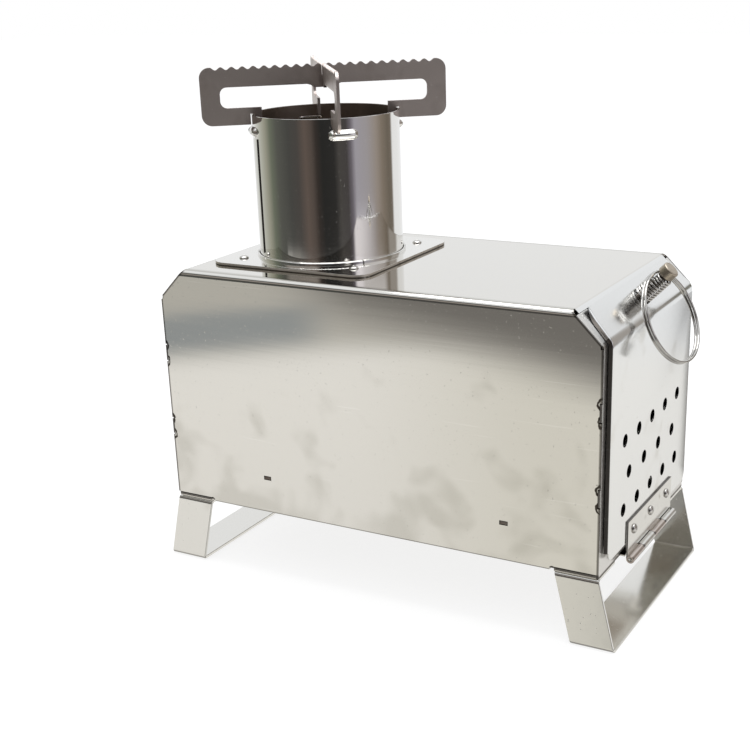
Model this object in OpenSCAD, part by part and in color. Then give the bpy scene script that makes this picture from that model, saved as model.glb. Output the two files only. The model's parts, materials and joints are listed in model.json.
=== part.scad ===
// Twig stove: a folded sheet firebox on two strip legs, with a drop-down door,
// a lift-off chimney tube and a crossed pot support.
// Millimetres, +Z up, ground at Z = 0, door at +X, middle of the width at Y = 0.

/* [Firebox] */
// Length of the firebox
body_l = 320; // [260:1:400]
// Width of the firebox
body_w = 167; // [140:1:200]
// Height of the firebox from its underside to its top
body_h = 167; // [140:1:200]
// Size of the sloped cut at the upper end corners
corner_cut = 20; // [15:0.5:26]
// Thickness of the folded sheet
sheet_t = 1.2; // [0.8:0.1:1.6]
// Outside radius of the bends along the top
bend_r = 4; // [2.5:0.5:6]
// Width of the flanges folded in under the floor
under_flange_w = 14; // [8:1:24]
// Height of the notch at each lower corner of a side
corner_notch_h = 3; // [2.5:0.1:5]
// Diameter of the relief hole beside each corner notch
relief_d = 4.4; // [2:0.2:6]
// Height of the locking tabs on the end sheets
end_tab_h = 11; // [6:0.5:16]
// Height of the lower locking tab above the underside
end_tab_low_z = 53; // [40:1:62]
// Distance between the two locking tabs
end_tab_pitch = 54; // [40:1:60]

/* [Door frame] */
// Width of the door opening
opening_w = 132; // [110:1:140]
// Height of the sill under the door opening
sill_h = 13; // [8:0.5:14]

/* [Fire grate] */
// Length of the grate
grate_l = 236; // [200:1:270]
// Thickness of the grate
grate_t = 2; // [1.2:0.1:2.6]
// Height of the grate's middle above the underside
grate_z = 26; // [18:0.5:34]
// Lengthwise place of the grate's middle
grate_x = 8; // [-10:1:14]
// Distance between the two tabs on one side of the grate
grate_tab_pitch = 178; // [120:1:190]
// Length of a grate tab
grate_tab_l = 5; // [3:0.5:8]
// Play of a grate tab in its slot
grate_tab_play = 0.4; // [0.3:0.1:0.8]
// Play between the grate and the sides
grate_side_play = 0.5; // [0.3:0.1:1.5]
// Diameter of a grate hole
grate_hole_d = 13; // [8:0.5:18]
// Distance between grate holes along the length
grate_pitch_x = 24; // [20:0.5:26]
// Distance between grate holes across the width
grate_pitch_y = 26; // [20:0.5:28]
// Number of grate holes along the length
grate_holes_x = 9; // [5:1:9]
// Number of grate holes across the width
grate_holes_y = 5; // [3:1:5]

/* [Legs] */
// Height of the legs
leg_h = 48.5; // [36:0.5:70]
// Width of the leg strip
leg_strip_w = 29; // [22:0.5:36]
// Thickness of the leg strip
leg_t = 2; // [1.5:0.1:3]
// Distance that each leg leans out from top to ground
leg_splay = 11.5; // [4:0.5:18]
// Outside radius of the leg bends
leg_bend_r = 4; // [3:0.5:8]
// Width of the leg flanges under the floor
leg_flange_w = 30; // [26:1:36]
// Distance between the two rivets in a leg flange
leg_rivet_pitch = 15; // [10:0.5:18]
// Distance from the side to the leg rivets
leg_rivet_inset = 18; // [14:0.5:21]

/* [Rivets] */
// Diameter of a rivet shank
rivet_d = 3.2; // [2.4:0.1:4]
// Diameter of a rivet head
rivet_head_d = 6.6; // [5:0.1:8]
// Height of a rivet head
rivet_head_h = 1.4; // [0.8:0.1:2]
// Diameter of a rivet's set end
rivet_tail_d = 4.8; // [4.2:0.1:6]
// Height of a rivet's set end
rivet_tail_h = 1.3; // [0.8:0.1:1.4]

/* [Chimney flange] */
// Side of the square flange plate
flange_w = 123; // [114:1:140]
// Thickness of the flange plate
flange_t = 2; // [1.2:0.1:3]
// Radius of the flange plate's corners
flange_corner_r = 12; // [4:0.5:16]
// Height of the collar lip above the flange plate
collar_h = 3.2; // [2:0.1:8]
// Thickness of the collar lip
collar_t = 1.2; // [0.8:0.1:2]
// Width of the split in the collar lip
collar_split = 1; // [0.6:0.1:2]
// Direction of the split in the collar lip
collar_split_angle = -34; // [-80:1:-10]
// Distance between the flange rivets
flange_rivet_pitch = 88; // [84:0.5:94]

/* [Chimney tube] */
// Outside diameter of the chimney tube
tube_d = 100; // [90:0.5:104]
// Wall of the chimney tube
tube_wall = 1.2; // [0.8:0.1:1.6]
// Height of the tube's rim above the top of the firebox
tube_h = 97.6; // [70:0.5:140]
// Lengthwise place of the tube's axis
tube_x = -72.6; // [-76:0.5:-66]
// Radial play between tube and collar
tube_play = 0.4; // [0.35:0.05:0.8]
// Gap under the standing tube
tube_stand_gap = 0.35; // [0.3:0.05:0.6]
// Width of the ledge that the tube stands on
tube_ledge = 3; // [2:0.5:6]
// Angular width of the lap seam
seam_angle = 8; // [5:0.5:14]
// Direction of the lap seam's edge
seam_dir = -128; // [-140:1:-118]
// Thickness of the lap seam
seam_t = 0.8; // [0.5:0.1:1.2]
// Gap between the collar and the lap seam
seam_gap = 1; // [0.5:0.1:4]
// Number of pressed lugs
lug_n = 4; // [2:2:4]
// Angular length of a pressed lug
lug_angle = 22; // [18:1:28]
// Angular wall at each end of a lug
lug_end_angle = 1; // [0.8:0.1:2]
// Distance that a lug stands out of the tube
lug_out = 3; // [1.5:0.1:4]
// Height of a lug
lug_h = 6.4; // [5:0.1:8]
// Distance from the rim down to a lug's upper edge
lug_drop = 7.4; // [7:0.1:12]
// Direction of the first lug
lug_dir = -45; // [-49:0.5:-41]

/* [Pot support] */
// Full span of a support plate
plate_span = 166; // [156:1:180]
// Thickness of a support plate
plate_t = 2; // [1.5:0.1:2.5]
// Height of the scallops above the tube's rim
plate_rise = 31.4; // [28:0.2:38]
// Distance that the feet reach below the rim
foot_drop = 6.6; // [4:0.2:6.8]
// Height of the feet above the rim
foot_rise = 4.7; // [3:0.1:7]
// Length of the window between the ends
window_l = 140; // [130:1:150]
// Height of the window's upper edge above the rim
window_rise = 18.2; // [14:0.2:19]
// Distance between the inner ends of the feet
foot_gap = 85.6; // [70:0.2:86]
// Radius of the plate's outer corners
plate_corner_r = 7; // [4:0.5:10]
// Radius of the window's corners
window_r = 4.5; // [2:0.5:5]
// Length of the deeper hub at the crossing
hub_l = 15; // [10:0.5:24]
// Extra depth of the hub
hub_drop = 2.4; // [1:0.1:4]
// Distance between scallops
scallop_pitch = 7.2; // [6.6:0.1:7.5]
// Radius of a scallop
scallop_r = 3.9; // [3.85:0.05:5]
// Number of scallops on a plate
scallop_n = 22; // [14:1:22]
// Play of the crossed plates in each other
lap_play = 0.35; // [0.3:0.05:0.6]
// Play of a foot's slot around the tube's wall
rim_play = 0.5; // [0.35:0.05:0.9]
// Direction of the lower support plate
plate_dir = 38; // [35:0.5:44]

/* [Door] */
// Width of the door
door_w = 152; // [146:1:158]
// Height of the door's lower edge above the underside
door_low_z = 8.5; // [4:0.5:12]
// Distance from the door frame to the outside of the door
door_out = 3.2; // [2.8:0.1:5]
// Thickness of the door sheet
door_t = 1.2; // [0.8:0.1:1.3]
// Gap between the door's flanges and the frame
door_gap = 0.4; // [0.35:0.05:0.8]
// Distance that the door stops short of the top corner
door_top_back = 1; // [0.5:0.1:3]
// Radius of the door's lower corners
door_corner_r = 6; // [3:0.5:9]
// Diameter of an air hole
air_d = 8.5; // [5:0.1:10]
// Height of the middle row of air holes above the underside
air_mid_z = 57; // [52:0.5:64]
// Distance between rows of air holes
air_row = 22.9; // [16:0.1:24]
// Distance between air holes in the outer rows
air_pitch_outer = 25.3; // [18:0.1:27]
// Distance between air holes in the middle row
air_pitch_mid = 27.9; // [18:0.1:30]
// Number of air holes in an outer row
air_n_outer = 5; // [3:1:5]
// Number of air holes in the middle row
air_n_mid = 4; // [2:1:4]

/* [Door hinge] */
// Width of the hinge
hinge_w = 86; // [70:1:88]
// Thickness of a hinge leaf
leaf_t = 1.2; // [0.8:0.1:1.6]
// Height of the door leaf above the pin
door_leaf_h = 25.4; // [22:0.2:32]
// Length of the body leaf behind the pin
body_leaf_l = 26; // [22:0.5:28]
// Outside diameter of the hinge barrel
barrel_d = 5.5; // [5:0.1:6.5]
// Diameter of the hinge pin
pin_d = 3; // [2:0.1:3.4]
// Radial running clearance of the door's knuckles on the pin
pin_play = 0.05; // [0.02:0.01:0.09]
// Gap between neighbouring knuckles
knuckle_gap = 0.5; // [0.4:0.1:1]
// Gap between one leaf and the other leaf's knuckles
leaf_gap = 0.7; // [0.4:0.1:1]
// Number of knuckles
knuckle_n = 4; // [4:2:6]
// Distance between the rivets of a leaf
leaf_rivet_pitch = 32; // [24:0.5:34]
// Height of the door leaf's rivets above the underside
leaf_rivet_z = 14.4; // [13:0.1:17]
// Distance of the body leaf's rivets behind the door frame
leaf_rivet_back = 11; // [8:0.5:14]

/* [Handle] */
// Distance of the handle below the middle of the slope
handle_down = 2; // [0:0.1:3]
// Diameter of the handle stud
stud_d = 6; // [5:0.1:7]
// Length of the threaded end behind the door
stud_back = 6.5; // [6:0.1:9]
// Diameter of the handle's head
head_d = 10.8; // [9:0.1:14]
// Length of the handle's head
head_l = 6; // [4:0.1:9]
// Thickness of the washer behind the door
washer_t = 1.2; // [0.8:0.1:2]
// Diameter of the washer
washer_d = 13; // [11:0.1:15]
// Height of the nut
nut_h = 4.2; // [3:0.1:5]
// Width of the nut across its corners
nut_d = 11.4; // [10:0.1:13]
// Radial play of the stud in its holes
stud_play = 0.1; // [0.05:0.05:0.2]
// Outside diameter of the coil spring
spring_d = 13; // [11:0.1:15]
// Wire of the coil spring
spring_wire = 1.3; // [0.9:0.1:1.4]
// Distance between the spring's curls
spring_pitch = 2; // [1.9:0.05:2.4]
// Number of the spring's curls
spring_turns = 6; // [4:1:7]
// Room for the ring between spring and head
ring_room = 6.8; // [6.6:0.1:9]

/* [Pull ring] */
// Outside diameter of the pull ring
ring_d = 60; // [44:0.5:64]
// Wire of the pull ring
ring_wire = 1.7; // [1.2:0.1:1.8]
// Distance between the ring's two turns
ring_pitch = 2.15; // [2.12:0.01:2.3]
// Gap between the ring and the neck that it hangs on
ring_neck_gap = 1.2; // [1.15:0.05:1.8]
// Lean of the hanging ring away from the door
ring_lean = 25; // [25:1:40]
// Turn of the ring to one side
ring_turn = -9; // [-12:1:0]
// Place of the wire's ends around the ring
ring_end_angle = 24; // [16:1:60]

/* [Hidden] */
$fn = 48;
fine = 96;
coarse = 24;
cut = 1;
root2 = sqrt(2);
bend_k = root2 - 1;
quarter = 90;
turn = 360;
slope = 45;

wire_sides = 6;
curl_rings = 8;
loop_rings = 24;
ring_turns = 2;

tube_r = tube_d / 2;
tube_in_r = tube_r - tube_wall;
collar_in_r = tube_r + tube_play;
collar_out_r = collar_in_r + collar_t;
rim_z = body_h + tube_h;
collar_top_z = body_h + flange_t + collar_h;
top_hole_r = tube_in_r - tube_ledge;

leg_top_x = body_l / 2 - leg_strip_w / 2;
notch_x = body_l / 2 - leg_strip_w;
side_in_y = body_w / 2 - sheet_t;
floor_top_z = 2 * sheet_t;
relief_set = relief_d / 4;
lap_z = (plate_rise + window_rise - hub_drop) / 2;

hinge_r = barrel_d / 2;
hinge_x = body_l / 2 + door_out + hinge_r;
hinge_z = -hinge_r;
knuckle_w = hinge_w / knuckle_n;

handle_mid = [body_l / 2 - corner_cut / 2 + handle_down / root2, 0, body_h - corner_cut / 2 - handle_down / root2];
spring_r = (spring_d - spring_wire) / 2;
spring_z = door_out + spring_wire / 2;
spring_top = door_out + spring_wire + spring_pitch * spring_turns;
head_z = spring_top + ring_room;
neck_mid = spring_top + ring_room / 2;
ring_r = (ring_d - ring_wire) / 2;
ring_hang = stud_d / 2 + ring_neck_gap + ring_wire / 2;
ring_pivot = handle_mid + turn_y([-ring_hang, 0, neck_mid], slope);

ring_x_max = max([for (p = ring_points()) p.x]);
foot_x_min = -(body_l / 2 + leg_splay);
frame_x = -(ring_x_max + foot_x_min) / 2;

// Turning of a point about Y and about Z
function turn_y(v, a) = [v.x * cos(a) + v.z * sin(a), v.y, v.z * cos(a) - v.x * sin(a)];
function turn_z(v, a) = [v.x * cos(a) - v.y * sin(a), v.x * sin(a) + v.y * cos(a), v.z];

// Points of a wire wound about Z: one small polygon of points for each step
function coil_mid(r, pitch, a) = [r * cos(a), r * sin(a), pitch * a / turn];
function coil_points(r, wire_r, pitch, a0, turns, rings) = [
    for (i = [0 : turns * rings])
        let (a = a0 + turn * i / rings, mid = coil_mid(r, pitch, a))
            for (j = [0 : wire_sides - 1])
                let (b = turn * j / wire_sides)
                    mid + wire_r * [cos(b) * cos(a), cos(b) * sin(a), sin(b)]
];
function coil_faces(steps) = concat(
    [for (i = [0 : steps - 1], j = [0 : wire_sides - 1])
        let (k = (j + 1) % wire_sides, p = i * wire_sides, q = p + wire_sides)
            [p + j, p + k, q + j]],
    [for (i = [0 : steps - 1], j = [0 : wire_sides - 1])
        let (k = (j + 1) % wire_sides, p = i * wire_sides, q = p + wire_sides)
            [p + k, q + k, q + j]],
    [for (j = [1 : wire_sides - 2]) [0, j + 1, j]],
    [for (j = [1 : wire_sides - 2]) let (e = steps * wire_sides) [e, e + j, e + j + 1]]
);
// Least clear distance between neighbouring turns of a wound wire
function coil_gap(r, wire, pitch, turns, rings) = min([
    for (i = [0 : turns * rings], j = [0 : turns * rings])
        if (j - i > rings / 2)
            norm(coil_mid(r, pitch, turn * j / rings) - coil_mid(r, pitch, turn * i / rings)) - wire
]);

// The ring's points, already hung on the handle's neck
function hang(p) = ring_pivot + turn_z(turn_y([p.z, p.y, p.x - ring_r], -ring_lean), ring_turn);
function ring_points() = [
    for (p = coil_points(ring_r, ring_wire / 2, ring_pitch, ring_end_angle, ring_turns, loop_rings))
        hang(p - [0, 0, ring_pitch * (ring_turns + 1) / 2])
];

echo("least gap in the spring", coil_gap(spring_r, spring_wire, spring_pitch, spring_turns, curl_rings));
echo("least gap in the ring", coil_gap(ring_r, ring_wire, ring_pitch, ring_turns, loop_rings));
echo("frame shift", frame_x, "ring pivot", ring_pivot + [frame_x, 0, leg_h]);
echo("hinge", [hinge_x + frame_x, 0, hinge_z + leg_h], "tube axis", tube_x + frame_x);

// Puts the firebox on its legs, with the middle of the whole length at X = 0
module stand_up() {
    translate([frame_x, 0, leg_h]) children();
}

// A flat shape in (Y, Z) drawn out along X
module along_x(len) {
    rotate([quarter, 0, quarter]) linear_extrude(len, center = true) children();
}

// A flat shape in (X, Z) drawn out along Y
module along_y(len) {
    rotate([quarter, 0, 0]) linear_extrude(len, center = true) children();
}

// A block given by its lower and upper corners
module block(lo, hi) {
    translate(lo) cube(hi - lo);
}

// A rectangle from (lo) to (hi) with rounded corners
module round_rect(lo, hi, r) {
    translate([lo.x + r, lo.y]) square([hi.x - lo.x - 2 * r, hi.y - lo.y]);
    translate([lo.x, lo.y + r]) square([hi.x - lo.x, hi.y - lo.y - 2 * r]);
    for (x = [lo.x + r, hi.x - r], y = [lo.y + r, hi.y - r]) {
        translate([x, y]) circle(r);
    }
}

// A rivet along Z: head above Z = 0, set end below the joined sheets
module rivet(grip) {
    dome_r = (pow(rivet_head_d / 2, 2) + pow(rivet_head_h, 2)) / (2 * rivet_head_h);
    intersection() {
        translate([0, 0, rivet_head_h - dome_r]) sphere(dome_r);
        cylinder(h = rivet_head_h + cut, d = rivet_head_d + cut);
    }
    translate([0, 0, -grip]) cylinder(h = grip, d = rivet_d);
    translate([0, 0, -grip - rivet_tail_h]) cylinder(h = rivet_tail_h, d = rivet_tail_d);
}

// The inside and the outside of the folded firebox as seen from its end
module shell_section(inset) {
    w = body_w - 2 * inset;
    round_rect([-w / 2, -body_h / 2], [w / 2, body_h - inset], bend_r - inset);
}

// Outline of a side sheet
module side_outline() {
    polygon([
        [-body_l / 2, 0], [body_l / 2, 0], [body_l / 2, body_h - corner_cut],
        [body_l / 2 - corner_cut, body_h], [-body_l / 2 + corner_cut, body_h],
        [-body_l / 2, body_h - corner_cut]
    ]);
}

// Places of the flange rivets, the leg rivets and the hinge leaf rivets
module flange_rivet_spots() {
    for (x = [-1, 1], y = [-1, 1]) {
        translate([tube_x + x * flange_rivet_pitch / 2, y * flange_rivet_pitch / 2, 0]) children();
    }
}

module leg_rivet_spots(end) {
    for (x = [-1, 1], y = [-1, 1]) {
        spot_x = end * leg_top_x + x * leg_rivet_pitch / 2;
        translate([spot_x, y * (body_w / 2 - leg_rivet_inset), 0]) children();
    }
}

module leaf_rivet_spots() {
    for (y = [-1 : 1]) {
        translate([0, y * leaf_rivet_pitch, 0]) children();
    }
}

module body_leaf_rivet_spots() {
    translate([body_l / 2 - leaf_rivet_back, 0, 0]) leaf_rivet_spots() children();
}

// Sides and top in one folded sheet, with narrow flanges turned in under the floor
module body_shell() {
    color("silver") stand_up() difference() {
        union() {
            intersection() {
                along_x(body_l) difference() {
                    shell_section(0);
                    shell_section(sheet_t);
                }
                along_y(body_w + cut) side_outline();
            }
            for (s = [0, 1]) {
                mirror([0, s, 0])
                    block([-notch_x + relief_d, body_w / 2 - under_flange_w, 0],
                          [notch_x - relief_d, body_w / 2 - sheet_t / 2, sheet_t]);
            }
        }
        translate([tube_x, 0, body_h - bend_r]) cylinder(h = 2 * bend_r, r = top_hole_r, $fn = fine);
        flange_rivet_spots() {
            translate([0, 0, body_h - bend_r]) cylinder(h = 2 * bend_r, d = rivet_d);
        }
        for (x = [0, 1], y = [0, 1]) {
            mirror([x, 0, 0]) mirror([0, y, 0]) {
                block([notch_x, side_in_y - cut, -cut],
                      [body_l / 2 + cut, body_w / 2 + cut, corner_notch_h]);
                translate([notch_x - relief_set, body_w / 2, relief_set]) rotate([quarter, 0, 0])
                    cylinder(h = 2 * under_flange_w, d = relief_d, center = true);
                for (z = [0, 1]) {
                    translate([body_l / 2, body_w / 2, end_tab_low_z + z * end_tab_pitch])
                        cube([2 * sheet_t, 2 * sheet_t, end_tab_h], center = true);
                }
            }
        }
        for (x = [-1, 1]) {
            slot_l = grate_tab_l + 2 * grate_tab_play;
            slot_h = grate_t + 2 * grate_tab_play;
            translate([grate_x + x * grate_tab_pitch / 2, 0, grate_z])
                cube([slot_l, body_w + cut, slot_h], center = true);
        }
    }
}

// End sheet with a sloped upper part and locking tabs, as it stands at the door end
module end_sheet() {
    intersection() {
        along_y(body_w) polygon([
            [body_l / 2, 0], [body_l / 2, body_h - corner_cut],
            [body_l / 2 - corner_cut, body_h], [body_l / 2 - corner_cut - sheet_t * root2, body_h],
            [body_l / 2 - sheet_t, body_h - corner_cut - bend_k * sheet_t], [body_l / 2 - sheet_t, 0]
        ]);
        along_x(body_l + cut) shell_section(sheet_t);
    }
    for (y = [0, 1], z = [0, 1]) {
        tab_z = end_tab_low_z + z * end_tab_pitch;
        mirror([0, y, 0])
            block([body_l / 2 - sheet_t, side_in_y - sheet_t, tab_z - end_tab_h / 2],
                  [body_l / 2, body_w / 2, tab_z + end_tab_h / 2]);
    }
}

module rear_panel() {
    color("silver") stand_up() mirror([1, 0, 0]) end_sheet();
}

// The same end sheet with the door opening cut out up to the top sheet
module front_frame() {
    color("silver") stand_up() difference() {
        end_sheet();
        block([body_l / 2 - 2 * corner_cut, -opening_w / 2, sill_h],
              [body_l / 2 + cut, opening_w / 2, body_h + cut]);
    }
}

// Floor on the turned-in flanges, doubled at both ends, with small ears in the corner notches
module floor_tray() {
    floor_l = body_l / 2 - sheet_t;
    color("lightgray") stand_up() difference() {
        union() {
            block([-floor_l, -side_in_y, sheet_t], [floor_l, side_in_y, floor_top_z]);
            for (x = [0, 1]) {
                mirror([x, 0, 0]) block([notch_x, -side_in_y, 0], [floor_l, side_in_y, sheet_t]);
                for (y = [0, 1]) {
                    mirror([x, 0, 0]) mirror([0, y, 0])
                        block([notch_x, side_in_y, 0], [floor_l, body_w / 2, corner_notch_h]);
                }
            }
        }
        for (end = [-1, 1]) {
            leg_rivet_spots(end) cylinder(h = 4 * floor_top_z, d = rivet_d, center = true);
        }
        body_leaf_rivet_spots() cylinder(h = 4 * floor_top_z, d = rivet_d, center = true);
    }
}

// Perforated grate carried by two tabs in each side
module fire_grate() {
    grate_y = side_in_y - grate_side_play;
    color("dimgray") stand_up() translate([grate_x, 0, grate_z]) difference() {
        union() {
            cube([grate_l, 2 * grate_y, grate_t], center = true);
            for (x = [-1, 1]) {
                translate([x * grate_tab_pitch / 2, 0, 0])
                    cube([grate_tab_l, body_w, grate_t], center = true);
            }
        }
        for (i = [0 : grate_holes_x - 1], j = [0 : grate_holes_y - 1]) {
            x = (i - (grate_holes_x - 1) / 2) * grate_pitch_x;
            y = (j - (grate_holes_y - 1) / 2) * grate_pitch_y;
            translate([x, y, 0])
                cylinder(h = 2 * grate_t, d = grate_hole_d, center = true, $fn = coarse);
        }
    }
}

// One leg: a strip folded into a loop that is open under the floor, leaning out
module leg() {
    difference() {
        intersection() {
            along_x(2 * body_l) difference() {
                round_rect([-body_w / 2, -leg_h], [body_w / 2, 0], leg_bend_r);
                round_rect([-body_w / 2 + leg_t, leg_t - leg_h], [body_w / 2 - leg_t, -leg_t],
                           leg_bend_r - leg_t);
                translate([0, -leg_t / 2])
                    square([body_w - 2 * leg_flange_w, 2 * leg_t], center = true);
            }
            along_y(body_w + cut) polygon([
                [notch_x, 0], [body_l / 2, 0],
                [body_l / 2 + leg_splay, -leg_h], [notch_x + leg_splay, -leg_h]
            ]);
        }
        leg_rivet_spots(1) cylinder(h = 4 * leg_t, d = rivet_d, center = true);
    }
}

module front_leg() {
    color("gainsboro") stand_up() leg();
}

module rear_leg() {
    color("gainsboro") stand_up() mirror([1, 0, 0]) leg();
}

module leg_rivets() {
    color("gray") stand_up() for (end = [-1, 1]) {
        leg_rivet_spots(end)
            translate([0, 0, -leg_t]) mirror([0, 0, 1]) rivet(leg_t + floor_top_z);
    }
}

// Square plate with a split collar lip around the tube
module flange_plate() {
    color("gainsboro") stand_up() translate([tube_x, 0, body_h]) difference() {
        union() {
            linear_extrude(flange_t)
                round_rect([-flange_w / 2, -flange_w / 2], [flange_w / 2, flange_w / 2], flange_corner_r);
            cylinder(h = flange_t + collar_h, r = collar_out_r, $fn = fine);
        }
        translate([0, 0, -cut])
            cylinder(h = flange_t + collar_h + 2 * cut, r = collar_in_r, $fn = fine);
        rotate([0, 0, collar_split_angle])
            block([collar_in_r - cut, -collar_split / 2, flange_t],
                  [collar_out_r + cut, collar_split / 2, flange_t + collar_h + cut]);
        translate([-tube_x, 0, 0]) flange_rivet_spots()
            cylinder(h = 4 * flange_t, d = rivet_d, center = true);
    }
}

module flange_rivets() {
    color("gray") stand_up() flange_rivet_spots()
        translate([0, 0, body_h + flange_t]) rivet(flange_t + sheet_t);
}

// Half section of a pressed lug: a bow that swells out of the tube's wall
module lug_section(thick) {
    bow_r = (pow(lug_h / 2, 2) + pow(lug_out, 2)) / (2 * lug_out);
    intersection() {
        translate([tube_r + lug_out - bow_r, 0]) circle(bow_r - thick);
        translate([tube_in_r - cut, -lug_h]) square([lug_out + tube_wall + 2 * cut, 2 * lug_h]);
    }
}

// The pressed lugs, or with a thickness the hollows inside them
module lugs(angle, thick) {
    for (i = [0 : lug_n - 1]) {
        translate([0, 0, rim_z - lug_drop - lug_h / 2])
            rotate([0, 0, lug_dir + i * turn / lug_n - angle / 2])
                rotate_extrude(angle = angle, $fn = fine) lug_section(thick);
    }
}

// Rolled tube with a lap seam and pressed lugs
module chimney_tube() {
    seam_h = rim_z - lug_drop - lug_h - collar_top_z - 2 * seam_gap;
    color("silver") stand_up() translate([tube_x, 0, 0]) difference() {
        union() {
            translate([0, 0, body_h + tube_stand_gap])
                cylinder(h = tube_h - tube_stand_gap, r = tube_r, $fn = fine);
            translate([0, 0, collar_top_z + seam_gap]) rotate([0, 0, seam_dir])
                rotate_extrude(angle = seam_angle, $fn = fine) translate([tube_r - tube_wall / 2, 0])
                    square([seam_t + tube_wall / 2, seam_h]);
            lugs(lug_angle, 0);
        }
        translate([0, 0, body_h - cut]) cylinder(h = tube_h + 2 * cut, r = tube_in_r, $fn = fine);
        lugs(lug_angle - 2 * lug_end_angle, tube_wall);
    }
}

// Flat shape of a support plate, with Z measured from the tube's rim
module plate_shape() {
    top_z = plate_rise - scallop_r;
    end_x = plate_span / 2;
    difference() {
        union() {
            round_rect([-end_x, -foot_drop], [end_x, top_z], plate_corner_r);
            for (i = [0 : scallop_n - 1]) {
                translate([(i - (scallop_n - 1) / 2) * scallop_pitch, top_z])
                    circle(scallop_r, $fn = coarse);
            }
        }
        difference() {
            union() {
                round_rect([-window_l / 2, foot_rise], [window_l / 2, window_rise], window_r);
                translate([-foot_gap / 2, -foot_drop - cut])
                    square([foot_gap, foot_drop + window_rise - window_r]);
            }
            translate([-hub_l / 2, window_rise - hub_drop]) square([hub_l, 2 * hub_drop]);
        }
        for (s = [0, 1]) {
            mirror([s, 0]) translate([tube_in_r - rim_play, -foot_drop - cut])
                square([tube_wall + 2 * rim_play, foot_drop + cut + rim_play]);
        }
    }
}

// A support plate with its half-lap slot cut between two heights
module support_plate(dir, slot_lo, slot_hi) {
    slot_y = plate_t / 2 + lap_play;
    stand_up() translate([tube_x, 0, rim_z]) rotate([0, 0, dir]) difference() {
        along_y(plate_t) plate_shape();
        block([-slot_y, -plate_t, slot_lo], [slot_y, plate_t, slot_hi]);
    }
}

module pot_support_lower() {
    color("dimgray") support_plate(plate_dir, lap_z, plate_rise + cut);
}

module pot_support_upper() {
    color("dimgray") support_plate(plate_dir - quarter, -foot_drop, lap_z + lap_play);
}

// Door profile at a given distance outside the door frame
function door_path(d) = [
    [body_l / 2 + d, door_low_z],
    [body_l / 2 + d, body_h - corner_cut + bend_k * d],
    [body_l / 2 - corner_cut + door_top_back + d / root2, body_h - door_top_back + d / root2]
];

module door_band(d_in, d_out) {
    a = door_path(d_out);
    b = door_path(d_in);
    polygon([a[0], a[1], a[2], b[2], b[1], b[0]]);
}

module air_row_holes(n, pitch, z) {
    for (i = [0 : n - 1]) {
        translate([body_l / 2, (i - (n - 1) / 2) * pitch, z])
            rotate([0, quarter, 0]) cylinder(h = 4 * door_out, d = air_d, center = true);
    }
}

// Folded door: front and slope in one sheet, with shallow side flanges
module door() {
    flange_end = door_path(door_gap)[2];
    flange_r = door_out - door_gap;
    color("whitesmoke") stand_up() difference() {
        union() {
            along_y(door_w) door_band(door_out - door_t, door_out);
            for (s = [-1, 1]) {
                translate([0, s * (door_w - door_t) / 2, 0]) along_y(door_t) difference() {
                    door_band(door_gap, door_out);
                    translate(flange_end) circle(flange_r);
                }
            }
        }
        along_x(2 * body_l) difference() {
            translate([-body_w, 0]) square([2 * body_w, door_low_z + door_corner_r]);
            round_rect([-door_w / 2, door_low_z], [door_w / 2, body_h], door_corner_r);
        }
        air_row_holes(air_n_outer, air_pitch_outer, air_mid_z + air_row);
        air_row_holes(air_n_mid, air_pitch_mid, air_mid_z);
        air_row_holes(air_n_outer, air_pitch_outer, air_mid_z - air_row);
        translate([body_l / 2, 0, leaf_rivet_z]) leaf_rivet_spots()
            rotate([0, quarter, 0]) cylinder(h = 4 * door_out, d = rivet_d, center = true);
        at_handle() cylinder(h = 4 * door_out, d = stud_d + 2 * stud_play, center = true);
    }
}

// Spans of the door's knuckles and of the body's knuckles along the pin
module knuckle_spans(first, play, lo, hi) {
    for (i = [first : 2 : knuckle_n - 1]) {
        y = -hinge_w / 2 + i * knuckle_w;
        block([lo.x, y - play, lo.y], [hi.x, y + knuckle_w + play, hi.y]);
    }
}

module knuckles(first, bore) {
    for (i = [first : 2 : knuckle_n - 1]) {
        mid_y = -hinge_w / 2 + (i + 1 / 2) * knuckle_w;
        translate([hinge_x, mid_y, hinge_z]) rotate([quarter, 0, 0]) difference() {
            cylinder(h = knuckle_w - knuckle_gap, d = barrel_d, center = true);
            cylinder(h = knuckle_w + cut, d = bore, center = true);
        }
    }
}

// Room for the pin, the full width of the hinge
module pin_room(bore) {
    translate([hinge_x, 0, hinge_z]) rotate([quarter, 0, 0])
        cylinder(h = hinge_w + cut, d = bore, center = true);
}

module hinge_leaf_door() {
    leaf_x = body_l / 2 + door_out;
    color("gainsboro") stand_up() difference() {
        union() {
            difference() {
                block([leaf_x, -(hinge_w - knuckle_gap) / 2, hinge_z],
                      [leaf_x + leaf_t, (hinge_w - knuckle_gap) / 2, hinge_z + door_leaf_h]);
                knuckle_spans(1, knuckle_gap / 2, [leaf_x - cut, hinge_z - cut],
                              [leaf_x + leaf_t + cut, leaf_gap]);
            }
            knuckles(0, pin_d);
        }
        pin_room(pin_d + 2 * pin_play);
        translate([leaf_x, 0, leaf_rivet_z]) leaf_rivet_spots()
            rotate([0, quarter, 0]) cylinder(h = 4 * leaf_t, d = rivet_d, center = true);
    }
}

module hinge_leaf_body() {
    leaf_x = body_l / 2 + door_out;
    color("gainsboro") stand_up() difference() {
        union() {
            difference() {
                block([hinge_x - body_leaf_l, -(hinge_w - knuckle_gap) / 2, -leaf_t],
                      [hinge_x, (hinge_w - knuckle_gap) / 2, 0]);
                knuckle_spans(0, knuckle_gap / 2, [leaf_x - leaf_gap, -leaf_t - cut],
                              [hinge_x + cut, cut]);
            }
            knuckles(1, pin_d);
        }
        pin_room(pin_d);
        body_leaf_rivet_spots() cylinder(h = 4 * leaf_t, d = rivet_d, center = true);
    }
}

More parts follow.
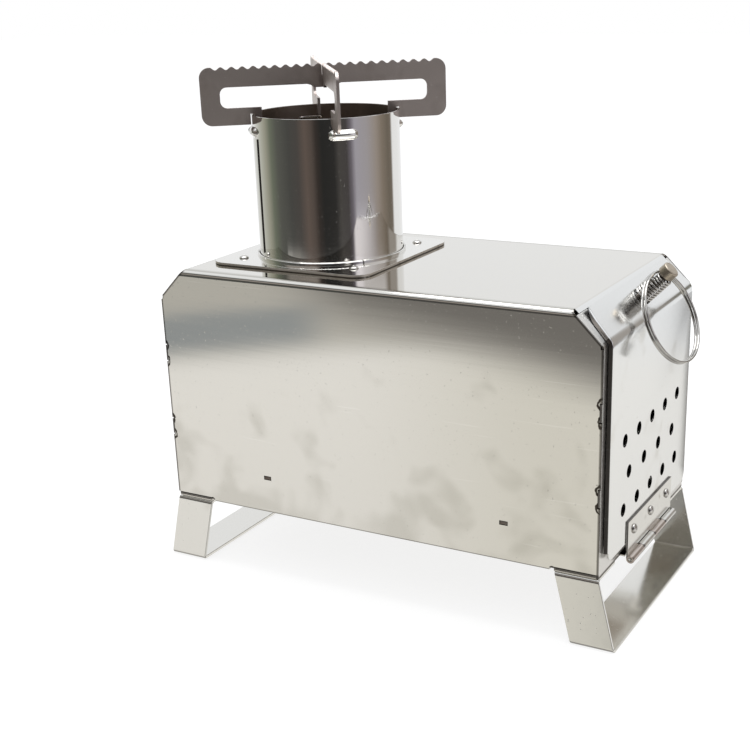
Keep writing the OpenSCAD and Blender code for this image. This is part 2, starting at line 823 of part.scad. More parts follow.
module hinge_pin() {
    color("gray") stand_up() translate([hinge_x, 0, hinge_z]) rotate([quarter, 0, 0])
        cylinder(h = hinge_w - knuckle_gap, d = pin_d, center = true);
}

module door_leaf_rivets() {
    leaf_face_x = body_l / 2 + door_out + leaf_t;
    color("gray") stand_up() translate([leaf_face_x, 0, leaf_rivet_z]) leaf_rivet_spots()
        rotate([0, quarter, 0]) rivet(leaf_t + door_t);
}

module body_leaf_rivets() {
    color("gray") stand_up() body_leaf_rivet_spots()
        translate([0, 0, -leaf_t]) mirror([0, 0, 1]) rivet(leaf_t + floor_top_z);
}

// Local frame of the handle: Z stands square on the middle of the door's slope
module at_handle() {
    translate(handle_mid) rotate([0, slope, 0]) children();
}

// Stud with a round head; its other end passes through the door
module handle_stud() {
    stud_low_z = door_out - door_t - stud_back;
    color("tan") stand_up() at_handle() {
        translate([0, 0, stud_low_z]) cylinder(h = head_z - stud_low_z + cut, d = stud_d);
        translate([0, 0, head_z]) cylinder(h = head_l, d = head_d);
    }
}

module handle_spring() {
    color("silver") stand_up() at_handle() translate([0, 0, spring_z])
        polyhedron(coil_points(spring_r, spring_wire / 2, spring_pitch, 0, spring_turns, curl_rings),
                   coil_faces(spring_turns * curl_rings));
}

module handle_washer() {
    color("gray") stand_up() at_handle() translate([0, 0, door_out - door_t - washer_t]) difference() {
        cylinder(h = washer_t, d = washer_d);
        cylinder(h = 4 * washer_t, d = stud_d + 2 * stud_play, center = true);
    }
}

module handle_nut() {
    nut_low_z = door_out - door_t - washer_t - nut_h;
    color("gray") stand_up() at_handle() translate([0, 0, nut_low_z]) difference() {
        cylinder(h = nut_h, d = nut_d, $fn = 6);
        cylinder(h = 4 * nut_h, d = stud_d, center = true);
    }
}

// Wire ring of two close turns, hung over the handle's neck
module pull_ring() {
    color("silver") stand_up() polyhedron(ring_points(), coil_faces(ring_turns * loop_rings));
}

body_shell();
rear_panel();
front_frame();
floor_tray();
fire_grate();
front_leg();
rear_leg();
leg_rivets();
flange_plate();
flange_rivets();
chimney_tube();
pot_support_lower();
pot_support_upper();
door();
hinge_leaf_door();
hinge_leaf_body();
hinge_pin();
door_leaf_rivets();
body_leaf_rivets();
handle_stud();
handle_spring();
handle_washer();
handle_nut();
pull_ring();
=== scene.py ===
import json
import math

import bmesh
import bpy
from mathutils import Matrix, Vector


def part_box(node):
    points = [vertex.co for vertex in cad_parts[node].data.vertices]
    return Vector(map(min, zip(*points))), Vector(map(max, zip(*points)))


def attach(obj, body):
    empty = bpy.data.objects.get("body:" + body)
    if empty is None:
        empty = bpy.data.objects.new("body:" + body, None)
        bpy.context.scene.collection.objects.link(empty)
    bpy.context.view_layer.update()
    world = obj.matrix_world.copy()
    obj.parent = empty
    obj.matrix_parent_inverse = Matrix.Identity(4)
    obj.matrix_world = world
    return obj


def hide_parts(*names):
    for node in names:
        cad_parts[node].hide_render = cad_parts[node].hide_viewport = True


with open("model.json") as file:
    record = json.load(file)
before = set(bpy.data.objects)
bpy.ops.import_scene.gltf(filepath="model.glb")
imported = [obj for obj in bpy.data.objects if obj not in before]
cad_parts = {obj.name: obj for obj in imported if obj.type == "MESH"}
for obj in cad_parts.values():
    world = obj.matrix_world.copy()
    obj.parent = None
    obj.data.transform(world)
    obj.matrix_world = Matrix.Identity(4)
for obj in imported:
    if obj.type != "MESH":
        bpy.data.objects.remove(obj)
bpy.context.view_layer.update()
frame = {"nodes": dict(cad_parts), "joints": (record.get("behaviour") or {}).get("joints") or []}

# Firebox shell
# Both sides and the top are one sheet of stainless steel. It is blanked with its slots and
# notches, folded along the two top edges and in under the floor, and the ends of its top are
# turned down to the slope. Burnt weld spots show at the locking tabs in its upright edges.
mm = 0.001
shell_lo, shell_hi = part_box("body_shell")
half_l = (shell_hi.x - shell_lo.x) / 2 / mm
half_w = (shell_hi.y - shell_lo.y) / 2 / mm
top_z = (shell_hi.z - shell_lo.z) / mm
stove = Matrix.Translation(((shell_lo.x + shell_hi.x) / 2, 0, shell_lo.z)) @ Matrix.Scale(mm, 4)
along, across, up = Vector((1, 0, 0)), Vector((0, 1, 0)), Vector((0, 0, 1))
sheet_t = 1.2
corner_cut = 20
cut_z = top_z - corner_cut
top_bend_r = 4
under_bend_r = 1.6
under_reach = 14
return_bend_r, return_len, return_gap = 3, 2.2, 1
shoulder = 0.3
fold_step = 7.5
set_back = math.tan(math.radians(22.5))
weld = 0.002
ease_angle, sharp_angle = 40, 15
foot_notch_x, foot_notch_h = 131, 3
relief_r, relief_set = 2.2, 1.1
tab_zs = (53, 107)
tab_h, tab_room = 11, 0.8
notch_depth = 1.5
nick_low, corner_nick = 1.7, ((-1.7, -1.3), (-1.9, 0.5), (-0.9, 0.9))
bead_w, bead_h = 4.6, 6.2
grate_x = 8
grate_z = 26
grate_tab_pitch = 178
grate_slot = (5.8, 2.9)
seam_w = 1.5
flange_lo, flange_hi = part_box("flange_plate")
tube_x = ((flange_lo.x + flange_hi.x) / 2 - stove.translation.x) / mm
top_hole_r = 45.8


def arc(cx, cy, r, start, end, steps):
    """Points along a round stretch, between two angles in degrees."""
    first, each = math.radians(start), math.radians(end - start) / steps
    return [(cx + r * math.cos(first + i * each), cy + r * math.sin(first + i * each))
            for i in range(steps + 1)]


def oblong(cx, cy, w, h):
    """The corners of an upright oblong about its middle."""
    return [(cx - w / 2, cy - h / 2), (cx + w / 2, cy - h / 2),
            (cx + w / 2, cy + h / 2), (cx - w / 2, cy + h / 2)]


def blank(bm, place, outline, *holes):
    """Cuts a flat blank with its holes and lays it where place says."""
    edges = []
    for loop in (outline, *holes):
        verts = [bm.verts.new(place(u, v)) for u, v in loop]
        edges += [bm.edges.new(ends) for ends in zip(verts, verts[1:] + verts[:1])]
    bmesh.ops.triangle_fill(bm, use_beauty=True, use_dissolve=False, edges=edges)


def free_edges(bm, test):
    """The free edges of a sheet whose two ends lie where the test says."""
    return [e for e in bm.edges if len(e.link_faces) < 2 and all(test(v.co) for v in e.verts)]


def every(bm):
    """All that a form is made of, for an operator that takes the lot."""
    return bm.verts[:] + bm.edges[:] + bm.faces[:]


def draw(bm, edges):
    """Doubles free edges with sheet between, and gives the new corners and edges."""
    made = bmesh.ops.extrude_edge_only(bm, edges=edges)["geom"]
    verts = [g for g in made if isinstance(g, bmesh.types.BMVert)]
    return verts, [g for g in made
                   if isinstance(g, bmesh.types.BMEdge) and all(v in verts for v in g.verts)]


def push(bm, edges, offset):
    """Draws free edges out into another flat stretch of sheet."""
    verts, edges = draw(bm, edges)
    bmesh.ops.translate(bm, vec=offset, verts=verts)
    return edges


def fold(bm, edges, run, axis, radius, angle):
    """Folds a sheet at its free edges, with a narrow flat shoulder on both sides of the bend."""
    edges = push(bm, edges, run * shoulder)
    centre = edges[0].verts[0].co + radius * axis.cross(run)
    verts = list(dict.fromkeys(v for e in edges for v in e.verts))
    made = bmesh.ops.spin(bm, geom=verts + edges, cent=centre, axis=axis, dvec=(0, 0, 0),
                          angle=math.radians(angle), steps=math.ceil(angle / fold_step), use_merge=False)
    edges = [g for g in made["geom_last"] if isinstance(g, bmesh.types.BMEdge)]
    run = Matrix.Rotation(math.radians(angle), 3, axis) @ run
    return push(bm, edges, run * shoulder), run


def finish(name, bm, thick=0.0, edge=0.2, inside=None):
    """Welds and faces a form in firebox millimetres, gives it its wall and eases its edges."""
    bmesh.ops.remove_doubles(bm, verts=bm.verts[:], dist=weld)
    bmesh.ops.recalc_face_normals(bm, faces=bm.faces[:])
    if inside is not None:
        facing = sum(f.calc_area() * f.normal.dot(f.calc_center_median() - Vector(inside))
                     for f in bm.faces)
        if facing < 0:
            bmesh.ops.reverse_faces(bm, faces=bm.faces[:])
    bm.transform(stove)
    mesh = bpy.data.meshes.new(name)
    bm.to_mesh(mesh)
    bm.free()
    piece = bpy.data.objects.new(name, mesh)
    bpy.context.scene.collection.objects.link(piece)
    if thick:
        wall = piece.modifiers.new("wall", "SOLIDIFY")
        wall.thickness = thick * mm
        wall.offset = -1
        wall.use_even_offset = True
    if edge:
        ease = piece.modifiers.new("eased edges", "BEVEL")
        ease.width = edge * mm
        ease.segments = 2
        ease.limit_method = "ANGLE"
        ease.angle_limit = math.radians(ease_angle)
    bpy.context.view_layer.update()
    shaped = piece.evaluated_get(bpy.context.evaluated_depsgraph_get())
    solid = bpy.data.meshes.new_from_object(shaped)
    piece.modifiers.clear()
    piece.data = solid
    solid.shade_smooth()
    solid.set_sharp_from_angle(angle=math.radians(sharp_angle))
    return piece


def add(tree, kind, inputs=None, **settings):
    """Adds a node, sets it, and feeds each named input with a value or another node's output."""
    made = tree.nodes.new("ShaderNode" + kind)
    for name, value in settings.items():
        setattr(made, name, value)
    for name, value in (inputs or {}).items():
        socket = made.inputs[name]
        if isinstance(value, bpy.types.NodeSocket):
            tree.links.new(value, socket)
        else:
            socket.default_value = (*value, 1) if socket.type == "RGBA" else value
    return made


def number(tree, operation, *values):
    """The result of a sum on single values."""
    return add(tree, "Math", dict(enumerate(values)), operation=operation).outputs[0]


def step(tree, value, low, high, bottom=0.0, top=1.0, soft=False):
    """A rise from bottom at one value to top at another, level beyond both."""
    return add(tree, "MapRange", {"Value": value, "From Min": low, "From Max": high, "To Min": bottom,
                                  "To Max": top},
               interpolation_type="SMOOTHSTEP" if soft else "LINEAR").outputs[0]


def noise(tree, place, scale, detail, **more):
    """A cloud of values over the piece."""
    return add(tree, "TexNoise", {"Vector": place, "Scale": scale, "Detail": detail, **more}).outputs[0]


def mixed(tree, share, a, b, kind="MIX"):
    """One colour with another over it by a share."""
    return add(tree, "Mix", {0: share, 6: a, 7: b}, data_type="RGBA", blend_type=kind).outputs[2]


def overlay(tree, share, colour):
    """Lays a colour over a finish by a share."""
    face = tree.nodes["Principled BSDF"].inputs["Base Color"]
    tree.links.new(mixed(tree, share, face.links[0].from_socket, colour), face)


def group(name, inputs, outputs):
    """Opens a shader node group with its sockets."""
    tree = bpy.data.node_groups.new(name, "ShaderNodeTree")
    for label, start in inputs:
        socket = tree.interface.new_socket(label, in_out="INPUT", socket_type="NodeSocketFloat")
        socket.default_value = start
    for label in outputs:
        tree.interface.new_socket(label, in_out="OUTPUT", socket_type="NodeSocketFloat")
    return tree, tree.nodes.new("NodeGroupInput").outputs, tree.nodes.new("NodeGroupOutput").inputs


marks, mark_in, mark_out = group(
    "handling marks", (("Patch Size", 20), ("Patch Cover", 0.5)), ("Patches", "Specks", "Scratches"))
place = add(marks, "TexCoord").outputs["Object"]
patch = noise(marks, place, mark_in["Patch Size"], 2, Roughness=0.5, Distortion=0.3)
limit = number(marks, "SUBTRACT", 1.0, mark_in["Patch Cover"])
patch = step(marks, patch, limit, number(marks, "ADD", limit, 0.22), soft=True)
speck = step(marks, noise(marks, place, 620, 1), 0.71, 0.76)
slanted = add(marks, "Mapping", {"Vector": place, "Rotation": (0.5, 0.9, 0.4), "Scale": (9, 260, 260)})
scratch = step(marks, noise(marks, slanted.outputs[0], 1.5, 2), 0.70, 0.74)
for label, value in (("Patches", patch), ("Specks", speck), ("Scratches", scratch)):
    marks.links.new(value, mark_out[label])

grain, grain_in, grain_out = group(
    "rolling grain", (("Along X", 4), ("Along Y", 300), ("Along Z", 300)), ("Lines", "Waves"))
place = add(grain, "TexCoord").outputs["Object"]
stretch = add(grain, "CombineXYZ", {axis: grain_in["Along " + axis] for axis in "XYZ"}).outputs[0]
stretch = add(grain, "VectorMath", {0: place, 1: stretch}, operation="MULTIPLY").outputs[0]
grain.links.new(noise(grain, stretch, 1, 3), grain_out["Lines"])
grain.links.new(noise(grain, place, 9, 1, Roughness=0.3), grain_out["Waves"])


def steel(name, colour, stain, rough, patch_size, patch_cover, patch_rough,
          grain_scales, grain_depth, wave_depth):
    """A steel finish: its colour, stained in patches, with rolling grain and a slightly wavy face."""
    made = bpy.data.materials.new(name)
    made.use_nodes = True
    tree = made.node_tree
    mark = add(tree, "Group", {"Patch Size": patch_size, "Patch Cover": patch_cover}, node_tree=marks)
    mark.name = "marks"
    lines = add(tree, "Group", dict(zip(("Along X", "Along Y", "Along Z"), grain_scales)), node_tree=grain)
    tint = mixed(tree, mark.outputs["Patches"], colour, stain)
    tint = mixed(tree, mark.outputs["Scratches"], tint, (0.12, 0.12, 0.12), "SCREEN")
    dull = rough
    for share, gain in ((mark.outputs["Patches"], patch_rough), (mark.outputs["Specks"], 0.15),
                        (lines.outputs["Lines"], 0.04)):
        dull = number(tree, "MULTIPLY_ADD", share, gain, dull)
    wavy = add(tree, "Bump", {"Strength": 1.0, "Distance": wave_depth * mm,
                              "Height": lines.outputs["Waves"]})
    fine = add(tree, "Bump", {"Strength": 1.0, "Distance": grain_depth * mm,
                              "Height": lines.outputs["Lines"], "Normal": wavy.outputs[0]})
    shader = tree.nodes["Principled BSDF"].inputs
    shader["Metallic"].default_value = 1.0
    tree.links.new(tint, shader["Base Color"])
    tree.links.new(dull, shader["Roughness"])
    tree.links.new(fine.outputs[0], shader["Normal"])
    return made


def fit(piece, body, node, material):
    """Paints a piece, hangs it on the body it rides on, and hides the CAD node it stands for."""
    piece.data.materials.clear()
    piece.data.materials.append(material)
    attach(piece, body)
    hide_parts(node)


def tabbed_edge(x, edge_z, depth, height):
    """The right-hand upright edge from its foot to edge_z, stepped by depth at the locking tabs."""
    steps = []
    for z in tab_zs:
        low, high = z - height / 2, z + height / 2
        steps += [(x, low), (x + depth, low), (x + depth, high), (x, high)]
    return steps + [(x, edge_z)]


relief_x = foot_notch_x - relief_set
under_z = under_bend_r + shoulder
side_z = top_z - top_bend_r - shoulder
relief_from = 180 - math.degrees(math.asin((under_z - relief_set) / relief_r))
relief_to = math.degrees(math.asin((foot_notch_h - relief_set) / relief_r))
side_right = arc(relief_x, relief_set, relief_r, relief_from, relief_to, 10)
side_right += [(half_l, foot_notch_h)]
side_right += tabbed_edge(half_l, cut_z - nick_low, -notch_depth, tab_h + 2 * tab_room)
side_right += [(half_l + x, cut_z + z) for x, z in corner_nick]
side_right += [(half_l + cut_z - side_z, side_z), (half_l - corner_cut, side_z)]
side_loop = side_right + [(-x, z) for x, z in reversed(side_right)]
slots = [oblong(grate_x + s * grate_tab_pitch / 2, grate_z, *grate_slot) for s in (-1, 1)]
flat_top_y = half_w - top_bend_r - shoulder
top_end = half_l - corner_cut
return_start = top_end - return_bend_r * set_back - shoulder
return_y = return_gap - flat_top_y
top_loop = [(-top_end, -flat_top_y), (top_end, -flat_top_y), (top_end, return_y),
            (return_start, return_y), (return_start, 0)]
top_loop += arc(tube_x, 0, top_hole_r, 0, -180, 48)
top_loop += [(-return_start, 0), (-return_start, return_y), (-top_end, return_y)]

bm = bmesh.new()
blank(bm, lambda x, y: (x, y, top_z), top_loop)
fold(bm, free_edges(bm, lambda p: abs(p.y + flat_top_y) < weld), -across, along, top_bend_r, 90)
for s in (-1, 1):
    push(bm, free_edges(bm, lambda p: abs(p.x - s * top_end) < weld and p.y < weld - flat_top_y),
         along * s * (top_z - side_z))
    bmesh.ops.bisect_plane(bm, geom=every(bm), dist=weld, plane_co=(s * top_end, 0, top_z),
                           plane_no=(s, 0, 1), clear_outer=True)
    bend, run = fold(bm, free_edges(bm, lambda p: abs(p.x - s * return_start) < weld),
                     along * s, across * s, return_bend_r, 45)
    push(bm, bend, run * return_len)
blank(bm, lambda x, z: (x, -half_w, z), side_loop, *slots)
bend, run = fold(bm, free_edges(bm, lambda p: abs(p.z - under_z) < weld and abs(p.x) < relief_x),
                 -up, along, under_bend_r, 90)
push(bm, bend, run * (under_reach - under_bend_r - shoulder))
bmesh.ops.mirror(bm, geom=every(bm), matrix=Matrix.Identity(4), merge_dist=weld, axis="Y")
shell = finish("shell", bm, sheet_t, inside=(0, 0, top_z / 2))
shell_steel = steel("shell steel", (0.74, 0.725, 0.69), (0.63, 0.615, 0.575), 0.035, 27, 0.47, 0.06,
                    (5, 260, 260), 0.003, 0.012)
tree = shell_steel.node_tree
place = add(tree, "TexCoord").outputs["Object"]
spot = add(tree, "SeparateXYZ", {0: place}).outputs
cover = step(tree, spot["Z"], shell_lo.z, shell_hi.z, 0.60, 0.26)
tree.links.new(cover, tree.nodes["marks"].inputs["Patch Cover"])
off_mid = number(tree, "ABSOLUTE", number(tree, "SUBTRACT", spot["X"], stove.translation.x))
off_axis = number(tree, "ABSOLUTE", spot["Y"])
aside = step(tree, off_axis, (half_w - 2.5) * mm, (half_w - 1.5) * mm)
on_top = step(tree, spot["Z"], shell_hi.z - 0.6 * mm, shell_hi.z - 0.3 * mm)
# Painted shade on the top sheet, darkening it towards the top folds.
crease_shade = step(tree, off_axis, (flat_top_y - 3) * mm, flat_top_y * mm, top=0.55)
overlay(tree, number(tree, "MULTIPLY", crease_shade, on_top), (0.36, 0.35, 0.31))
# Painted shade: a thin dark line along the side's upright and slanted edges, where the end sheets meet
# them.
upright = step(tree, off_mid, (half_l - seam_w) * mm, (half_l - seam_w / 2) * mm)
slant_end = (half_l + cut_z) * mm + shell_lo.z
slant = step(tree, number(tree, "ADD", off_mid, spot["Z"]),
             slant_end - 1.4 * seam_w * mm, slant_end - 0.7 * seam_w * mm)
seam_shade = number(tree, "MAXIMUM", upright, slant)
overlay(tree, number(tree, "MULTIPLY", seam_shade, aside), (0.196, 0.185, 0.172))
tab_off = spot["Z"]
for at in (sum(tab_zs) / 2 + shell_lo.z / mm, (tab_zs[1] - tab_zs[0]) / 2, tab_h / 2):
    tab_off = number(tree, "ABSOLUTE", number(tree, "SUBTRACT", tab_off, at * mm))
edge_off = number(tree, "SUBTRACT", half_l * mm, off_mid)
bead = add(tree, "CombineXYZ", {"X": edge_off, "Z": tab_off}).outputs[0]
bead = add(tree, "VectorMath", {0: bead, 1: (1 / (bead_w * mm), 0, 1 / (bead_h * mm))},
           operation="MULTIPLY").outputs[0]
bead = add(tree, "VectorMath", {0: bead}, operation="LENGTH").outputs["Value"]
bead = number(tree, "MULTIPLY_ADD", noise(tree, place, 330, 1), 0.6, bead)
burnt = number(tree, "MULTIPLY", step(tree, bead, 0.66, 0.72, 0.15), step(tree, bead, 1.0, 0.94))
overlay(tree, number(tree, "MULTIPLY", burnt, aside), (0.05, 0.043, 0.036))
turned_end = step(tree, off_axis, flat_top_y * mm, (flat_top_y - 1) * mm)
off_top = number(tree, "SUBTRACT", 1.0, on_top)
overlay(tree, number(tree, "MULTIPLY", turned_end, off_top), (0.80, 0.805, 0.80))
fit(shell, "firebox", "body_shell", shell_steel)

# End sheets
# The front frame and the rear panel are stainless sheets folded back under the sloped corners.
# Their locking tabs sit in the notches of the shell's upright edges.
sheet_gap = 0.06
tab_set, end_set = 0.05, 0.15
end_in_y = half_w - sheet_t - sheet_gap
end_bend_r = 3
end_flat_z = cut_z - end_bend_r * set_back - shoulder
end_top_z = (top_z - return_bend_r * (1 - math.cos(math.radians(45)))
             - (shoulder + return_len) * math.sin(math.radians(45)) - end_set)
tab_depth = half_w - tab_set - end_in_y
mouth_y = 66
sill_h = 13
edge_on = 0.6
end_steel = steel("end steel", (0.76, 0.75, 0.73), (0.64, 0.61, 0.56), 0.26, 30, 0.4, 0.08,
                  (260, 260, 5), 0.004, 0.03)
# A near-black steel that stands in for shade: painted shade on faces in gaps, under edges and inside
# coils.
painted_shade_steel = steel("painted shade steel", (0.17, 0.16, 0.15), (0.08, 0.07, 0.06), 0.28, 60, 0.4, 0.1,
                   (300, 300, 30), 0.004, 0.02)


def end_sheet(name, inner, facing):
    """Cuts an end sheet round its inner path, folds its slope, and faces it to one end."""
    edge = [(end_in_y, 0.0)] + tabbed_edge(end_in_y, end_flat_z, tab_depth, tab_h)
    bm = bmesh.new()
    blank(bm, lambda y, z: (half_l, y, z), edge + inner + [(-y, z) for y, z in reversed(edge)])
    bend, run = fold(bm, free_edges(bm, lambda p: abs(p.z - end_flat_z) < weld),
                     up, -across, end_bend_r, 45)
    push(bm, bend, run * (end_top_z - bend[0].verts[0].co.z) / run.z)
    bmesh.ops.scale(bm, vec=(facing, 1, 1), verts=bm.verts[:])
    return finish(name, bm, sheet_t, inside=(0, 0, top_z / 2))


def second_coat(piece, material, test):
    """Paints those faces of a piece with another finish that the test picks."""
    piece.data.materials.append(material)
    for face in piece.data.polygons:
        if test(face):
            face.material_index = 1


def painted_foot_shadow(material, foot, reach, soft=0.15):
    """Darkens a finish along its foot, up to a reach in millimetres, as a painted shadow where the piece
    stands on another.
    """
    tree = material.node_tree
    spot = add(tree, "SeparateXYZ", {0: add(tree, "TexCoord").outputs["Object"]}).outputs
    share = step(tree, spot["Z"], foot + (reach + soft) * mm, foot + (reach - soft) * mm)
    overlay(tree, share, (0.12, 0.105, 0.09))


# Painted shadow along the foot of both end sheets.
painted_foot_shadow(end_steel, shell_lo.z, 1.5)
mouth = [(mouth_y, end_flat_z), (mouth_y, sill_h), (-mouth_y, sill_h), (-mouth_y, end_flat_z)]
front_frame = end_sheet("front_frame_sheet", mouth, 1)
fit(front_frame, "firebox", "front_frame", end_steel)
rear_panel = end_sheet("rear_panel_sheet", [], -1)
fit(rear_panel, "firebox", "rear_panel", end_steel)
# Painted shade on the end sheets' side and tab faces, which sit in the shell's notches.
for sheet in (front_frame, rear_panel):
    second_coat(sheet, painted_shade_steel, lambda f: abs(f.normal.y) > edge_on)

# Floor tray
# A flat stainless sheet lies on the shell's turned-in flanges. It is doubled at both ends, and
# its ears fill the corner notches of the sides.
floor_steel = steel("floor steel", (0.60, 0.58, 0.54), (0.42, 0.37, 0.32), 0.22, 18, 0.5, 0.12,
                    (5, 260, 260), 0.004, 0.06)
ear_set, lay_gap = 0.1, 0.02
floor_end = half_l - sheet_t - sheet_gap
ear_y = half_w - ear_set
bm = bmesh.new()
tray = [(-floor_end, -ear_y), (-foot_notch_x, -ear_y), (-foot_notch_x, -end_in_y),
        (foot_notch_x, -end_in_y), (foot_notch_x, -ear_y), (floor_end, -ear_y)]
blank(bm, lambda x, y: (x, y, 2 * sheet_t), tray + [(x, -y) for x, y in reversed(tray)])
for s in (-1, 1):
    doubled = oblong(s * (floor_end + foot_notch_x) / 2, 0, floor_end - foot_notch_x, 2 * ear_y)
    blank(bm, lambda x, y: (x, y, sheet_t - lay_gap), doubled)
floor_tray = finish("floor_sheet", bm, sheet_t - 2 * lay_gap, inside=(0, 0, -100))
fit(floor_tray, "firebox", "floor_tray", floor_steel)
# Painted shade on the upper ear edges in the side notches.
second_coat(floor_tray, painted_shade_steel,
            lambda f: abs(f.normal.y) > edge_on and f.center.z > shell_lo.z + sheet_t * mm)

# Fire grate
# A perforated steel plate hangs by four tabs in the slots of the sides. Its holes are punched
# in rows, and the fire has darkened it.
grate_l, grate_w, grate_t = 236, 163.6, 2
grate_tab = 5
hole_r = 6.5
hole_pitch_x, hole_pitch_y = 24, 26
bm = bmesh.new()
grate_half = [(grate_x - grate_l / 2, -grate_w / 2)]
for s in (-1, 1):
    mid = grate_x + s * grate_tab_pitch / 2
    low, high = mid - grate_tab / 2, mid + grate_tab / 2
    grate_half += [(low, -grate_w / 2), (low, -ear_y), (high, -ear_y), (high, -grate_w / 2)]
grate_half += [(grate_x + grate_l / 2, -grate_w / 2)]
holes = [arc(grate_x + i * hole_pitch_x, j * hole_pitch_y, hole_r, 0, 352.5, 47)
         for i in range(-4, 5) for j in range(-2, 3)]
grate_loop = grate_half + [(x, -y) for x, y in reversed(grate_half)]
blank(bm, lambda x, y: (x, y, grate_z + grate_t / 2), grate_loop, *holes)
fire_grate = finish("grate", bm, grate_t, inside=(0, 0, -100))
grate_steel = steel("grate steel", (0.36, 0.34, 0.32), (0.16, 0.12, 0.10), 0.32, 22, 0.55, 0.15,
                    (5, 200, 200), 0.01, 0.05)
fit(fire_grate, "firebox", "fire_grate", grate_steel)

# Legs
# Each leg is one stainless strip folded into a loop that leans outwards. Its upper ends turn
# in under the floor, where they are riveted.
leg_w = 29
leg_t = 2
leg_h = shell_lo.z / mm
leg_splay = 11.5
leg_bend_r = 3
leg_flange = 30
leg_steel = steel("leg steel", (0.76, 0.75, 0.72), (0.55, 0.52, 0.47), 0.12, 34, 0.34, 0.10,
                  (260, 5, 260), 0.003, 0.012)


def leg(name, facing):
    """Folds a leg's loop from its strip, leans it and faces it to one end."""
    bm = bmesh.new()
    flange = leg_flange - leg_bend_r - shoulder
    ends = [bm.verts.new((x, leg_flange - half_w, 0)) for x in (half_l - leg_w, half_l)]
    edges = push(bm, [bm.edges.new(ends)], -across * flange)
    run = -across
    drop = leg_h - 2 * (leg_bend_r + shoulder)
    base = 2 * (half_w - leg_bend_r - shoulder)
    for reach in (drop, base, drop, flange):
        edges, run = fold(bm, edges, run, along, leg_bend_r, 90)
        edges = push(bm, edges, run * reach)
    lean = Matrix.Identity(4)
    lean[0][2] = -leg_splay / leg_h
    bm.transform(lean)
    bmesh.ops.scale(bm, vec=(facing, 1, 1), verts=bm.verts[:])
    return finish(name, bm, leg_t, edge=0.3, inside=(facing * half_l, 0, -leg_h / 2))


fit(leg("front_leg_strip", 1), "firebox", "front_leg", leg_steel)
fit(leg("rear_leg_strip", -1), "firebox", "rear_leg", leg_steel)

# Leg rivets
# Steel blind rivets hold the leg flanges to the floor. Each has a domed head with the pit of
# its broken-off pin, and a bulged tail on the far side.
rivet_r = 1.6
head_r, head_h = 3.3, 1.9
pit_r, pit_depth = 0.8, 0.55
pit_lip, pit_ease, lip_drop = 0.15, 0.1, 0.12
tail_r, tail_h, tail_ease = 2.4, 1.3, 0.4
rivet_steel = steel("rivet steel", (0.60, 0.585, 0.56), (0.38, 0.36, 0.33), 0.16, 160, 0.4, 0.12,
                    (300, 300, 300), 0.004, 0.02)


def turn(angle, axis):
    """A turn by some degrees about one of the three axes."""
    return Matrix.Rotation(math.radians(angle), 4, axis)


def cap(bm):
    """Closes the open ends of a form."""
    bmesh.ops.holes_fill(bm, edges=[e for e in bm.edges if e.is_boundary], sides=0)


def join(bm, part, place):
    """Faces a part outwards, sets it in place and adds it to a form."""
    bmesh.ops.recalc_face_normals(part, faces=part.faces[:])
    part.transform(place)
    form = bpy.data.meshes.new("form")
    part.to_mesh(form)
    part.free()
    bm.from_mesh(form)
    bpy.data.meshes.remove(form)


def turned(bm, profile, place, steps=32, angle=360, closed=False):
    """Turns a profile of radius and height about its axis and sets it in place."""
    part = bmesh.new()
    verts = [part.verts.new((r, 0, z)) for r, z in profile]
    ends = list(zip(verts, verts[1:])) + ([(verts[-1], verts[0])] if closed else [])
    edges = [part.edges.new(pair) for pair in ends]
    bmesh.ops.spin(part, geom=verts + edges, cent=(0, 0, 0), axis=(0, 0, 1), dvec=(0, 0, 0),
                   angle=math.radians(angle), steps=steps, use_merge=angle == 360)
    bmesh.ops.remove_doubles(part, verts=part.verts[:], dist=weld)
    if angle < 360:
        cap(part)
    join(bm, part, place)


def rivet_set(name, body, node, grip, places):
    """Sets a blind rivet at each place, with its head up along the place's own height."""
    start = math.degrees(math.asin((pit_r + pit_lip) / head_r))
    head = [(head_r * math.sin(math.radians(a)), head_h * math.cos(math.radians(a)))
            for a in (start + (88 - start) * i / 12 for i in range(13))]
    lip_z = head[0][1]
    pit_z = lip_z - pit_depth
    tail_z = -grip - tail_h
    profile = [(0, pit_z), (pit_r - pit_ease, pit_z), (pit_r, pit_z + pit_ease), (pit_r, lip_z - lip_drop)]
    profile += head + [(head_r, 0), (rivet_r, 0), (rivet_r, -grip), (tail_r, -grip),
                       (tail_r, tail_z + tail_ease), (tail_r - tail_ease, tail_z), (0, tail_z)]
    bm = bmesh.new()
    for place in places:
        turned(bm, profile, place)
    fit(finish(name, bm, edge=0), body, node, rivet_steel)


leg_rivet_set = 7.5
leg_rivet_y = half_w - 18
leg_mid = half_l - leg_w / 2
rivet_set("leg_rivet_set", "firebox", "leg_rivets", leg_t + 2 * sheet_t,
          [Matrix.Translation((sx * leg_mid + set_x, sy * leg_rivet_y, -leg_t)) @ turn(180, "X")
           for sx in (-1, 1) for set_x in (-leg_rivet_set, leg_rivet_set) for sy in (-1, 1)])

